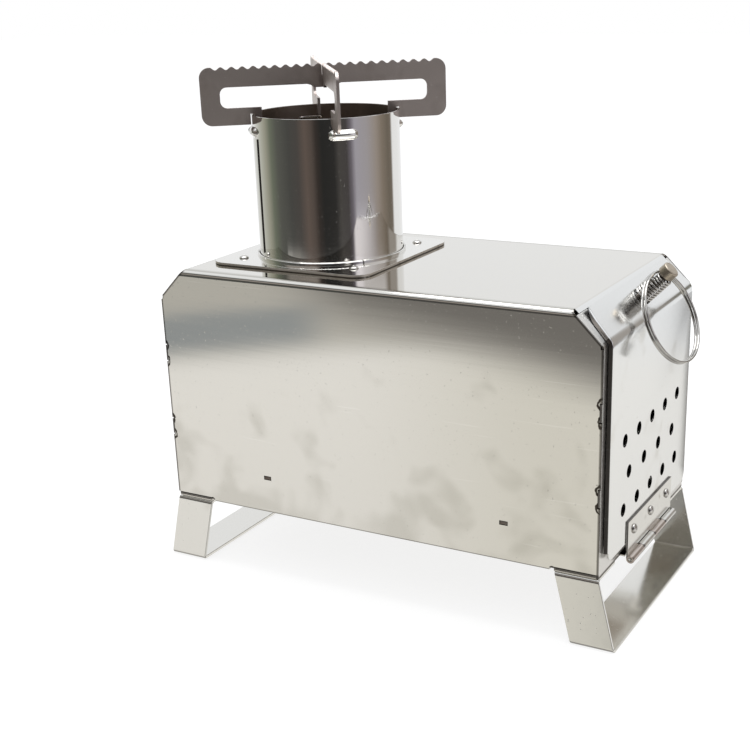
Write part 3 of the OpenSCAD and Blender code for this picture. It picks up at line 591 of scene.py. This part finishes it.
# Flange plate
# A square of polished stainless plate with rounded corners carries the chimney tube. A thin
# split collar is turned up round its hole.
plate_half = (flange_hi.x - flange_lo.x) / 2 / mm
plate_t = 2
plate_corner_r = 12
collar_in, collar_out, collar_gap = 50.4, 51.6, 0.02
collar_h, lip_r = 2.1, 0.6
collar_split_dir, collar_split = -34, 1.2
plate_z = top_z + plate_t
corner = plate_half - plate_corner_r
tube_axis = Matrix.Translation((tube_x, 0, 0))
square = []
for k, (sx, sy) in enumerate(((1, 1), (-1, 1), (-1, -1), (1, -1))):
    square += arc(tube_x + sx * corner, sy * corner, plate_corner_r, 90 * k, 90 * k + 90, 12)
bm = bmesh.new()
blank(bm, lambda x, y: (x, y, plate_z), square, arc(tube_x, 0, collar_out + collar_gap, 0, 357.5, 143))
flange_blank = finish("flange_plate_sheet", bm, plate_t, edge=0.35, inside=(tube_x, 0, 0))
flange_steel = steel("flange steel", (0.80, 0.79, 0.765), (0.70, 0.68, 0.64), 0.07, 40, 0.3, 0.08,
                     (5, 260, 260), 0.002, 0.006)
fit(flange_blank, "firebox", "flange_plate", flange_steel)
cut_steel = steel("cut edge steel", (0.60, 0.56, 0.51), (0.42, 0.38, 0.33), 0.45, 90, 0.4, 0.1,
                  (300, 300, 30), 0.01, 0.02)
# Painted shadow along the foot of the plate's edge, where it lies on the top sheet.
painted_foot_shadow(cut_steel, flange_lo.z, 0.6)
second_coat(flange_blank, cut_steel, lambda f: abs(f.normal.z) < 0.4)
bm = bmesh.new()
lip = [(collar_in, top_z), (collar_out, top_z)]
lip += arc(collar_out - lip_r, plate_z + collar_h - lip_r, lip_r, 0, 180, 8)
turned(bm, lip, tube_axis @ turn(collar_split_dir + collar_split / 2, "Z"), 180, 360 - collar_split, True)
fit(finish("flange_collar", bm, edge=0), "firebox", "flange_plate", flange_steel)

# Flange rivets
# Four blind rivets with domed heads hold the flange plate to the top sheet, one near each of
# its corners.
flange_rivet_set = 44
rivet_set("flange_rivet_set", "firebox", "flange_rivets", plate_t + sheet_t,
          [Matrix.Translation((tube_x + sx * flange_rivet_set, sy * flange_rivet_set, plate_z))
           for sx in (-1, 1) for sy in (-1, 1)])

# Door
# One bright stainless sheet covers the mouth and its slope. Its two long edges are folded back
# into stiffening flanges that end in a horn at the top, and fourteen air holes are punched.
door_steel = steel("door steel", (0.79, 0.795, 0.79), (0.72, 0.71, 0.68), 0.13, 30, 0.42, 0.07,
                   (5, 260, 260), 0.002, 0.006)
door_out = 3.2
door_w = 152
door_low_z = 8.5
door_corner_r, corner_rest = 6, 3
door_bend_r = 9
door_edge_r, edge_steps = 1, 8
door_flange = 2.8
horn_len, horn_steps, horn_tip = 11, 11, 0.12
air_r = 4.25
air_rows = ((79.9, 5, 25.3), (57, 4, 27.9), (34.1, 5, 25.3))
door_x = half_l + door_out
door_fold_z = cut_z + door_out * set_back
door_flat_z = door_fold_z - door_bend_r * set_back - shoulder
door_flat_y = door_w / 2 - door_edge_r
slope_gap, slope_narrow = 0.3, 0.085
slope_top_z = top_z - slope_gap
right = [(0, door_low_z)]
right += arc(door_flat_y - door_corner_r, door_low_z + door_corner_r, door_corner_r, 270, 360, 10)
right += [(door_flat_y, door_low_z + door_corner_r + corner_rest), (door_flat_y, door_flat_z)]
left = [(-y, z) for y, z in reversed(right[1:])]
holes = [arc((i - (n - 1) / 2) * pitch, z, air_r, 0, 350, 35)
         for z, n, pitch in air_rows for i in range(n)]
bm = bmesh.new()
blank(bm, lambda y, z: (door_x, y, z), right + left, *holes)
bend, run = fold(bm, free_edges(bm, lambda p: abs(p.z - door_flat_z) < weld),
                 up, -across, door_bend_r, 45)
bend_mid = Vector((door_x - door_bend_r, 0, door_flat_z + shoulder))
slope_dir = run.copy()
slope_len = (slope_top_z - bend[0].verts[0].co.z) / run.z
bend = push(bm, bend, run * (slope_len - horn_len))
for i in range(horn_steps):
    bend = push(bm, bend, run * horn_len / horn_steps)
slope_end = bend[0].verts[0].co.copy()


def door_normal(p):
    """Which way the door faces at a point of its edge."""
    if p.z <= bend_mid.z:
        return along
    out = Vector((p.x - bend_mid.x, 0, p.z - bend_mid.z)).normalized()
    return out if out.z < math.sin(math.radians(45)) else Vector((1, 0, 1)).normalized()


sides = free_edges(bm, lambda p: abs(abs(p.y) - door_flat_y) < weld
                   and p.z > door_low_z + door_corner_r - weld)
last = {}
for i in range(1, edge_steps + 2):
    verts, sides = draw(bm, sides)
    base = {v: last[tuple(v.co)] if last else v.co.copy() for v in verts}
    last = {}
    for v in verts:
        p = base[v]
        side = 1 if p.y > 0 else -1
        to_end = max(0.0, (slope_end - p).dot(slope_dir)) if p.z > bend_mid.z else horn_len
        horn = 1 - max(0.0, 1 - to_end / horn_len) ** 2
        bent = math.radians(90 * min(i, edge_steps) / edge_steps)
        deep = door_edge_r * (1 - math.cos(bent)) + (door_flange - door_edge_r) * max(0, i - edge_steps)
        outward = across * side * door_edge_r * math.sin(bent)
        v.co = p + outward - door_normal(p) * deep * max(horn, horn_tip)
        last[tuple(v.co)] = p
for v in bm.verts:
    if v.co.z > bend_mid.z:
        v.co.y *= 1 - slope_narrow * ((v.co.z - bend_mid.z) / (slope_top_z - bend_mid.z)) ** 2
door = finish("door_sheet", bm, sheet_t, inside=(0, 0, top_z / 3))
fit(door, "door", "door", door_steel)
# Painted shade on the outer faces of the side flanges, in the gap beside the frame.
second_coat(door, painted_shade_steel,
            lambda f: abs(f.normal.y) > 0.75 and abs(f.center.y) > (door_flat_y + 0.3) * mm)

# Hinge
# Two bright steel leaves carry two knuckles each, which turn on a pin with rounded ends. The
# door's leaf stands on its face and the body's leaf lies under the floor.
door_joint = next(j for j in frame["joints"] if j["name"] == "door_hinge")
pin_at = stove.inverted() @ Vector(door_joint["pos_m"])
leaf_t = 1.2
leaf_half = 42.75
leaf_top_z = 22.65
leaf_lap, least_step = 0.4, 0.05
body_reach, body_clear = 26, 0.7
knuckle_in, knuckle_r, knuckle_ease = 1.55, 2.75, 0.45
knuckle_w, knuckle_gap = 20.7, 0.9
knuckle_clear = 0.4
pin_r, pin_dome = 1.5, 0.6
hinge_steel = steel("hinge steel", (0.70, 0.69, 0.66), (0.50, 0.47, 0.42), 0.14, 90, 0.38, 0.10,
                    (300, 5, 300), 0.004, 0.03)
worn_steel = steel("worn hinge steel", (0.55, 0.49, 0.45), (0.40, 0.35, 0.31), 0.12, 90, 0.38, 0.10,
                   (300, 5, 300), 0.004, 0.02)
knuckle_pitch = knuckle_w + knuckle_gap
knuckle_starts = [i * knuckle_pitch - leaf_half for i in range(4)]
lay_across = turn(-90, "X")


def knuckles(name, own):
    """Rolls a leaf's own knuckles round the pin, with eased rims."""
    rolled = [(knuckle_in, 0), (knuckle_r - knuckle_ease, 0), (knuckle_r, knuckle_ease),
              (knuckle_r, knuckle_w - knuckle_ease), (knuckle_r - knuckle_ease, knuckle_w),
              (knuckle_in, knuckle_w)]
    bm = bmesh.new()
    for i in own:
        place = Matrix.Translation((pin_at.x, knuckle_starts[i], pin_at.z))
        turned(bm, rolled, place @ lay_across, 48, closed=True)
    return finish(name, bm, edge=0)


def leaf_outline(far, near, cleared, own):
    """A leaf's outline across the hinge, with gaps where the other leaf's knuckles turn."""
    path = [(-leaf_half, far)]
    for i, y in enumerate(knuckle_starts):
        edge = near if i in own else cleared
        path += [(y, edge), (y + knuckle_w, edge)]
        if i < 3:
            path += [(y + knuckle_w, cleared), (y + knuckle_pitch, cleared)]
    path.append((leaf_half, far))
    return [p for i, p in enumerate(path) if math.dist(p, path[i - 1]) > least_step]


bm = bmesh.new()
blank(bm, lambda y, z: (door_x + leaf_t, y, z),
      leaf_outline(leaf_top_z, pin_at.z + leaf_lap, knuckle_clear, (0, 2)))
leaf = finish("door_leaf", bm, leaf_t, edge=0.25, inside=(0, 0, 10))
fit(leaf, "door", "hinge_leaf_door", hinge_steel)
# Painted shadow on the leaf's edges.
second_coat(leaf, painted_shade_steel, lambda f: abs(f.normal.x) < 0.4)
fit(knuckles("door_knuckles", (0, 2)), "door", "hinge_leaf_door", worn_steel)
bm = bmesh.new()
blank(bm, lambda y, x: (x, y, -leaf_t),
      leaf_outline(pin_at.x - body_reach, pin_at.x - leaf_lap, pin_at.x - knuckle_r - body_clear, (1, 3)))
body_leaf = finish("body_leaf", bm, leaf_t, edge=0.25, inside=(0, 0, 10))
fit(body_leaf, "firebox", "hinge_leaf_body", hinge_steel)
fit(knuckles("body_knuckles", (1, 3)), "firebox", "hinge_leaf_body", hinge_steel)
bm = bmesh.new()
dome = [(0, 0)] + [(pin_r * math.sin(math.radians(a)), pin_dome * (1 - math.cos(math.radians(a))))
                   for a in range(10, 91, 10)]
turned(bm, dome + [(r, 2 * leaf_half - z) for r, z in reversed(dome)],
       Matrix.Translation((pin_at.x, -leaf_half, pin_at.z)) @ lay_across)
pin = finish("hinge_pin_rod", bm, edge=0)
fit(pin, "firebox", "hinge_pin", hinge_steel)
# Painted shade on the pin's body, which shows in the gaps between the knuckles.
second_coat(pin, painted_shade_steel, lambda f: abs(f.normal.y) < 0.2)

# Hinge rivets
# Three steel blind rivets hold each leaf, on the door's face and under the floor. Their heads
# sit on the leaf's own face.
leaf_rivet_z = 14.4
leaf_rivet_x = 149
leaf_rivet_ys = (-32, 0, 32)
rivet_set("door_leaf_rivet_set", "door", "door_leaf_rivets", leaf_t + sheet_t,
          [Matrix.Translation((door_x + leaf_t, y, leaf_rivet_z)) @ turn(90, "Y") for y in leaf_rivet_ys])
rivet_set("body_leaf_rivet_set", "firebox", "body_leaf_rivets", leaf_t + 2 * sheet_t,
          [Matrix.Translation((leaf_rivet_x, y, -leaf_t)) @ turn(180, "X") for y in leaf_rivet_ys])

# Handle
# A steel stud with a round head stands square on the door's slope. A coil spring over it keeps
# the grip cool. Its upper curls are narrower and flattened where the ring hangs, and a washer
# and a nut hold the stud behind the sheet.
handle_down = 2 * math.sin(math.radians(45))
handle = Matrix.Translation((half_l - corner_cut / 2 + handle_down, 0,
                             top_z - corner_cut / 2 - handle_down)) @ turn(45, "Y")
stud_r, stud_tail, stud_ease = 3, 4.5, 0.5
stud_head_r, stud_head_z, stud_head_h = 5.4, 23.3, 6
head_lap, crown_ease = 0.2, 0.9
spring_r, spring_wire, spring_pitch, spring_turns = 5.85, 0.65, 2, 6
spring_z = door_out + spring_wire
neck_r, neck_turns, neck_flat, neck_gap = 4.65, 3.5, 3.2, 0.05
neck_z = spring_z + spring_pitch * spring_turns + neck_gap
neck_set = spring_r - neck_r
neck_pitch = (stud_head_z - spring_wire - neck_z) / neck_turns
wire_sides, turn_steps = 16, 64
stud_steel = steel("stud steel", (0.50, 0.44, 0.36), (0.36, 0.30, 0.24), 0.34, 120, 0.45, 0.1,
                   (200, 200, 200), 0.01, 0.02)
spring_steel = steel("spring steel", (0.68, 0.665, 0.64), (0.50, 0.47, 0.43), 0.22, 60, 0.30, 0.10,
                     (300, 300, 300), 0.001, 0.005)
fastener_steel = steel("fastener steel", (0.55, 0.55, 0.54), (0.36, 0.34, 0.31), 0.25, 120, 0.4, 0.1,
                       (200, 200, 200), 0.004, 0.02)
crown_z = stud_head_z + stud_head_h
head = [(stud_r - head_lap, stud_head_z)]
head += arc(stud_head_r - stud_ease, stud_head_z + stud_ease, stud_ease, 270, 360, 6)
head += arc(stud_head_r - crown_ease, crown_z - crown_ease, crown_ease, 0, 90, 10) + [(0, crown_z)]
bm = bmesh.new()
turned(bm, head, handle, 48)
fit(finish("stud_head", bm, edge=0), "door", "handle_stud", stud_steel)
# The shank is painted dark, as painted shade inside the spring's coils.
shaded_shank_steel = steel("shank steel with painted shade", (0.24, 0.215, 0.19), (0.15, 0.13, 0.11), 0.4, 120, 0.45, 0.1,
                    (200, 200, 200), 0.01, 0.02)
bm = bmesh.new()
turned(bm, [(0, -stud_tail), (stud_r - stud_ease, -stud_tail), (stud_r, stud_ease - stud_tail),
            (stud_r, stud_head_z + stud_ease)], handle, 48)
fit(finish("stud_shank", bm, edge=0), "door", "handle_stud", shaded_shank_steel)


def coil(bm, radius, wire, pitch, turns, start, place):
    """Winds a wire into a coil about its axis, with closed ends."""
    part = bmesh.new()
    section = turn(start, "Z") @ Matrix.Translation((radius, 0, 0)) @ turn(90, "X")
    ring = bmesh.ops.create_circle(part, cap_ends=False, segments=wire_sides, radius=wire,
                                   matrix=section)["verts"]
    steps = round(turns * turn_steps)
    bmesh.ops.spin(part, geom=ring + part.edges[:], cent=(0, 0, 0), axis=(0, 0, 1),
                   dvec=(0, 0, pitch * turns / steps), angle=math.radians(360 * turns), steps=steps)
    cap(part)
    join(bm, part, place)


ring_joint = next(j for j in frame["joints"] if j["name"] == "ring_swing")
stud_axis = handle.to_3x3() @ up
flat_side = stud_axis.cross(Vector(ring_joint["axis"])).normalized()
bm = bmesh.new()
coil(bm, neck_r, spring_wire, neck_pitch, neck_turns, 0,
     handle @ Matrix.Translation((neck_set, 0, neck_z)))
bmesh.ops.bisect_plane(bm, geom=every(bm), dist=weld, plane_co=handle.translation + flat_side * neck_flat,
                       plane_no=flat_side, clear_outer=True)
cap(bm)
coil(bm, spring_r, spring_wire, spring_pitch, spring_turns, 0,
     handle @ Matrix.Translation((0, 0, spring_z)))
spring = finish("spring_coil", bm, edge=0)
fit(spring, "door", "handle_spring", spring_steel)
stud_foot = stove @ handle.translation
# Painted shade on the inner faces of the coils.
second_coat(spring, painted_shade_steel,
            lambda f: (f.center - stud_foot).cross(stud_axis).dot(f.normal.cross(stud_axis)) < 0)
for node in ("handle_washer", "handle_nut"):
    frame["nodes"][node].data.materials.clear()
    frame["nodes"][node].data.materials.append(fastener_steel)

# Pull ring
# A bright steel wire wound twice hangs behind the stud's head and leans on the door. It is
# turned a little aside, as it came to rest.
wire_steel = steel("wire steel", (0.56, 0.55, 0.53), (0.42, 0.39, 0.35), 0.06, 140, 0.36, 0.10,
                   (300, 300, 300), 0.002, 0.01)
ring_at = stove.inverted() @ Vector(ring_joint["pos_m"])
ring_r, ring_wire, ring_pitch, ring_turns = 29.15, 0.85, 2.15, 2
ring_lean, ring_aside, ring_start = 25, -9, 24
stand = Matrix(((0, 0, 1, 0), (0, 1, 0, 0), (1, 0, 0, -ring_r), (0, 0, 0, 1)))
hang = Matrix.Translation(ring_at) @ turn(ring_aside, "Z") @ turn(-ring_lean, "Y") @ stand
bm = bmesh.new()
coil(bm, ring_r, ring_wire, ring_pitch, ring_turns, ring_start,
     hang @ Matrix.Translation((0, 0, ring_pitch * (ring_start / 360 - (ring_turns + 1) / 2))))
fit(finish("ring_coil", bm, edge=0), "ring", "pull_ring", wire_steel)

# Chimney tube
# A mirror-polished stainless sheet rolled into a tube, with a narrow lap seam on one side and
# soot inside. Four lugs are pressed out below the rim to steady the pot support.
tube_lo, tube_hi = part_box("chimney_tube")
rim_z = (tube_hi.z - stove.translation.z) / mm
foot_z = (tube_lo.z - stove.translation.z) / mm
tube_r = 50
tube_t = 1.2
lug_dirs = (-45, 45, 135, 225)
lug_span, lug_h, lug_out, lug_drop, lug_rows = 22, 6.4, 2.9, 7.4, 28
seam_dir, seam_span, seam_t, seam_lap = -128, 8, 0.8, 0.3
rim_row = 0.6
lug_mid_z = rim_z - lug_drop - lug_h / 2
lug_low = lug_mid_z - lug_h / 2
heights = [foot_z, foot_z + rim_row, lug_low - rim_row]
heights += [lug_low + lug_h * i / lug_rows for i in range(lug_rows + 1)]
heights += [lug_mid_z + lug_h / 2 + rim_row, rim_z - rim_row, rim_z]
bm = bmesh.new()
turned(bm, [(tube_r, z) for z in heights], tube_axis, 360)
lug_straight = math.radians(lug_span / 2) * tube_r - lug_h / 2
for v in bm.verts:
    bearing = math.degrees(math.atan2(v.co.y, v.co.x - tube_x))
    aside = math.radians(min(abs((bearing - d + 180) % 360 - 180) for d in lug_dirs)) * tube_r
    off = math.hypot(max(0.0, aside - lug_straight), v.co.z - lug_mid_z) / (lug_h / 2)
    if off < 1:
        grow = 1 + lug_out * (1 - off ** 2) / tube_r
        v.co.x = tube_x + (v.co.x - tube_x) * grow
        v.co.y *= grow
wall = finish("tube_wall", bm, tube_t, edge=0.3, inside=(tube_x, 0, 200))
tube_steel = steel("tube steel", (0.78, 0.765, 0.74), (0.70, 0.68, 0.64), 0.035, 60, 0.32, 0.05,
                   (8, 8, 700), 0.0006, 0.012)
fit(wall, "chimney", "chimney_tube", tube_steel)
sooted_steel = steel("sooted steel", (0.36, 0.30, 0.26), (0.24, 0.19, 0.16), 0.30, 40, 0.5, 0.1,
                     (8, 8, 300), 0.004, 0.03)
axis_m = stove @ Vector((tube_x, 0, 0))
second_coat(wall, sooted_steel,
            lambda f: f.normal.xy.dot((f.center - axis_m).xy) < 0 and abs(f.normal.z) < 0.5)
bm = bmesh.new()
seam_low, seam_high = foot_z + 6, lug_low - 1
strip = [(tube_r - seam_lap, seam_low), (tube_r + seam_t, seam_low),
         (tube_r + seam_t, seam_high), (tube_r - seam_lap, seam_high)]
turned(bm, strip, tube_axis @ turn(seam_dir - seam_span / 2, "Z"), 8, seam_span, True)
fit(finish("tube_seam", bm, edge=0.2), "chimney", "chimney_tube", tube_steel)

# Pot support
# Two dark satin steel plates with scalloped tops cross in a half lap. Their feet have slots
# that stand over the tube's rim.
support_t = 2
support_half = 83
support_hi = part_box("pot_support_lower")[1]
scallop_n, scallop_pitch, scallop_wave = 22, 7.2, 0.95
crest, base_drop = (support_hi.z - tube_hi.z) / mm, 6.6
support_corner_r = 7
window_half, window_r, window_low, window_high = 70, 4.5, 4.7, 18.2
foot_in = 42.8
rim_slot = (48.3, 50.5, 0.5)
hub_half, hub_low = 7.5, window_high - 2.4
hub_curve = ((4, 0), (1.5, -0.8), (0, -1.8), (-0.8, -2.4))
lap_low, lap_half = (crest + hub_low) / 2, 1.35
lap_high = lap_low + 0.35
support_steel = steel("support steel", (0.60, 0.535, 0.51), (0.46, 0.405, 0.38), 0.38, 45, 0.5, 0.08,
                      (30, 30, 300), 0.006, 0.03)


def support_plate(name, direction, cut_from_top):
    """Cuts one support plate and stands it over the rim in its direction."""
    reach = scallop_pitch * (scallop_n - 1) / 2
    path = [(lap_half, lap_low)] if cut_from_top else []
    for i in range(int(reach * 2)):
        u = i / 2
        if u > lap_half or not cut_from_top:
            path.append((u, crest - scallop_wave * (1 + math.cos(2 * math.pi * u / scallop_pitch))))
    path.append((reach, crest))
    path += arc(support_half - support_corner_r, crest - support_corner_r, support_corner_r, 80, 0, 10)
    path += arc(support_half - support_corner_r, support_corner_r - base_drop, support_corner_r, 0, -90, 8)
    path += [(rim_slot[1], -base_drop), (rim_slot[1], rim_slot[2]), (rim_slot[0], rim_slot[2]),
             (rim_slot[0], -base_drop), (foot_in, -base_drop), (foot_in, window_low)]
    path += arc(window_half - window_r, window_low + window_r, window_r, -90, 0, 6)
    path += arc(window_half - window_r, window_high - window_r, window_r, 0, 90, 6)
    path += [(hub_half + u, window_high + w) for u, w in hub_curve]
    if not cut_from_top:
        path += [(lap_half, hub_low), (lap_half, lap_high)]
    mirrored = [(-u, w) for u, w in reversed(path)]
    if not cut_from_top:
        mirrored = mirrored[:-1]
    on_rim = Matrix.Translation((tube_x, 0, rim_z)) @ turn(direction, "Z")
    bm = bmesh.new()
    blank(bm, lambda u, w: on_rim @ Vector((u, -support_t / 2, w)), path + mirrored)
    return finish(name, bm, support_t, edge=0.25, inside=on_rim @ Vector((0, 100, 10)))


lower = support_plate("support_lower_plate", 38, True)
fit(lower, "support_lower", "pot_support_lower", support_steel)
upper = support_plate("support_upper_plate", -52, False)
fit(upper, "support_upper", "pot_support_upper", support_steel)

# Ground
# A pale, matt studio floor under the stove. It keeps only a faint shadow round the feet, and
# the polished steel doesn't mirror it.
floor_mesh = bpy.data.meshes.new("ground")
bm = bmesh.new()
bmesh.ops.create_grid(bm, x_segments=1, y_segments=1, size=6)
bm.to_mesh(floor_mesh)
bm.free()
ground = bpy.data.objects.new("ground", floor_mesh)
bpy.context.scene.collection.objects.link(ground)
ground.visible_glossy = False
floor_look = bpy.data.materials.new("ground")
floor_look.use_nodes = True
tree = floor_look.node_tree
tree.nodes.remove(tree.nodes["Principled BSDF"])
matt = add(tree, "BsdfDiffuse", {"Color": (0.30, 0.30, 0.30)})
glow = add(tree, "Emission", {"Color": (1, 1, 1), "Strength": 0.78})
both = add(tree, "AddShader", {0: matt.outputs[0], 1: glow.outputs[0]})
tree.links.new(both.outputs[0], tree.nodes["Material Output"].inputs["Surface"])
floor_mesh.materials.append(floor_look)

# Studio
# The room that the polished steel mirrors: white all round and overhead, with a dark doorway
# of brown and grey stripes before the stove. The camera itself sees plain white.
studio = bpy.data.worlds.new("studio")
bpy.context.scene.world = studio
studio.use_nodes = True
tree = studio.node_tree
toward = add(tree, "SeparateXYZ", {0: add(tree, "TexCoord").outputs["Generated"]}).outputs
bearing = number(tree, "ARCTAN2", *(number(tree, "MULTIPLY", toward[axis], -1.0) for axis in "XY"))
height = number(tree, "ARCSINE", toward["Z"])


def over(source, low, high):
    """A soft step from 0 at one angle to 1 at another, in degrees."""
    return step(tree, source, math.radians(low), math.radians(high), soft=True)


def ramp(source, low, high, stops):
    """Colours along an angle, each at its own number of degrees."""
    made = add(tree, "ValToRGB", {0: step(tree, source, math.radians(low), math.radians(high))})
    stops = sorted(((angle - low) / (high - low), colour) for angle, colour in stops)
    band = made.color_ramp.elements
    band[0].position, band[0].color = stops[0][0], (*stops[0][1], 1)
    band[1].position, band[1].color = stops[-1][0], (*stops[-1][1], 1)
    for at, colour in stops[1:-1]:
        band.new(at).color = (*colour, 1)
    return made.outputs[0]


white = (0.94, 0.95, 0.96)
seen = ramp(height, -90, 90, [
    (-90, (0.30, 0.29, 0.28)), (-52, (0.38, 0.37, 0.35)), (-34, (0.86, 0.845, 0.81)),
    (-18, (0.97, 0.955, 0.92)), (-8, (0.97, 0.97, 0.96)), (9, (0.83, 0.845, 0.855)),
    (20, (0.84, 0.855, 0.87)), (50, (1.0, 1.02, 1.05)), (90, (1.0, 1.0, 1.0))])
doorway = ramp(bearing, 180, -180, [
    (180, white), (125, white), (97, (0.56, 0.57, 0.51)), (79, (0.37, 0.37, 0.30)),
    (66, (0.17, 0.19, 0.145)), (52, (0.11, 0.113, 0.10)), (30, (0.075, 0.075, 0.07)),
    (15, (0.08, 0.073, 0.068)), (2, (0.135, 0.105, 0.09)), (-8, (0.10, 0.08, 0.07)),
    (-15, (0.045, 0.037, 0.033)), (-24, (0.026, 0.026, 0.025)), (-42, (0.031, 0.03, 0.029)),
    (-50, (0.075, 0.07, 0.066)), (-62, (0.07, 0.064, 0.064)), (-69, (0.17, 0.155, 0.18)),
    (-76, (0.40, 0.385, 0.43)), (-96, (0.39, 0.37, 0.385)), (-114, (0.35, 0.305, 0.27)),
    (-126, (0.25, 0.21, 0.17)), (-141, (0.175, 0.15, 0.12)), (-150, (0.20, 0.17, 0.14)),
    (-155, white), (-180, white)])
far_floor = ramp(bearing, 180, -180, [
    (180, white), (62, white), (54, (0.56, 0.545, 0.50)), (12, (0.56, 0.545, 0.50)),
    (-10, (0.30, 0.28, 0.26)), (-30, (0.24, 0.22, 0.20)), (-48, white), (-180, white)])
sill = height
for low, high, rise in ((-10, 25, -0.7), (-110, -140, -0.9), (41, 46, 2.0)):
    sill = number(tree, "MULTIPLY_ADD", over(bearing, low, high), math.radians(rise), sill)
slant = number(tree, "MULTIPLY_ADD", bearing, -0.3, height)
above_sill, below_sill = (sill, -13.4, -12.4), (sill, -12.4, -13.4)
overhead, near_side = (height, 34, 24), (bearing, -50, -25)
for colour, *limits in (
        # the dim near side, the doorway, a pale step in it and a bright wall beside it
        ((0.82, 0.80, 0.73), (bearing, 33, 22), (bearing, -60, -30), (height, -6, -12)),
        (doorway, above_sill, (height, 48, 34)),
        ((0.60, 0.585, 0.63), (bearing, -71, -76), (bearing, -112, -100), (height, -9.6, -11.2),
         above_sill),
        ((1.0, 0.97, 1.02), (bearing, -66, -72), (bearing, -116, -72), (height, 6, 9), overhead),
        # the lintel, paler on the right
        ((0.70, 0.68, 0.68), (bearing, -78, -86), (bearing, -136, -120), (height, 12.3, 13.1), overhead),
        ((0.34, 0.31, 0.285), (bearing, -14, -4), (bearing, 52, 38), (height, 12.3, 13.1), overhead),
        # the floor beyond the sill, a grey band and two shades on it
        (far_floor, (height, -16.9, -15.4), below_sill),
        ((0.335, 0.36, 0.37), (height, -16.35, -15.45), (height, -14.1, -14.5), (bearing, 32, 34.5)),
        ((0.20, 0.19, 0.178), (slant, -25.5, -22.7), (bearing, 36, 31), near_side, below_sill),
        ((0.20, 0.20, 0.196), (bearing, 18.8, 17.6), (height, -40, -33), near_side, below_sill),
        # the skirting on both sides at the back, and two dark forms before it
        ((0.17, 0.165, 0.135), (height, -4, -1.5), (height, 8, 4.5), (bearing, -120, -140)),
        ((0.17, 0.165, 0.135), (height, -4, -1.5), (height, 8, 4.5), (bearing, 115, 135)),
        ((0.40, 0.37, 0.34), (bearing, -164, -154), (bearing, -132, -140), (height, -4, -1.5),
         (height, 26, 18)),
        ((0.10, 0.095, 0.09), (bearing, -166, -169), (bearing, -180, -177), (height, -40, -35),
         (height, -13.2, -14.4))):
    share = over(*limits[0])
    for limit in limits[1:]:
        share = number(tree, "MULTIPLY", share, over(*limit))
    seen = mixed(tree, share, seen, colour)
path_kind = add(tree, "LightPath").outputs
seen = mixed(tree, path_kind["Is Diffuse Ray"], seen, (0.85, 0.86, 0.88))
seen = mixed(tree, path_kind["Is Camera Ray"], seen, (1, 1, 1))
tree.links.new(seen, tree.nodes["Background"].inputs["Color"])
lamp = bpy.data.lights.new("softbox", "AREA")
lamp.shape = "RECTANGLE"
lamp.size, lamp.size_y = 1.4, 1.0
lamp.energy = 14
softbox = bpy.data.objects.new("softbox", lamp)
softbox.location = (-0.1, 0.1, 1.7)
bpy.context.scene.collection.objects.link(softbox)

# Camera
# A long lens stands before the door's near corner, a little above the chimney tube. Its eye is
# in firebox millimetres, and its pan, tilt and roll are in degrees.
eye = stove @ Vector((410.0, -763.77, 359.37))
pan, tilt, roll = 29.891, 19.737, 1.911
focal_share = 1.73864
film = 36
lens = bpy.data.cameras.new("camera")
lens.sensor_width = film
lens.lens = focal_share * film
lens.shift_x, lens.shift_y = -0.02252, 0.07016
camera = bpy.data.objects.new("camera", lens)
camera.matrix_world = Matrix.Translation(eye) @ turn(pan, "Z") @ turn(90 - tilt, "X") @ turn(-roll, "Z")
bpy.context.scene.collection.objects.link(camera)
bpy.context.scene.camera = camera
bpy.context.scene.view_settings.view_transform = "Standard"
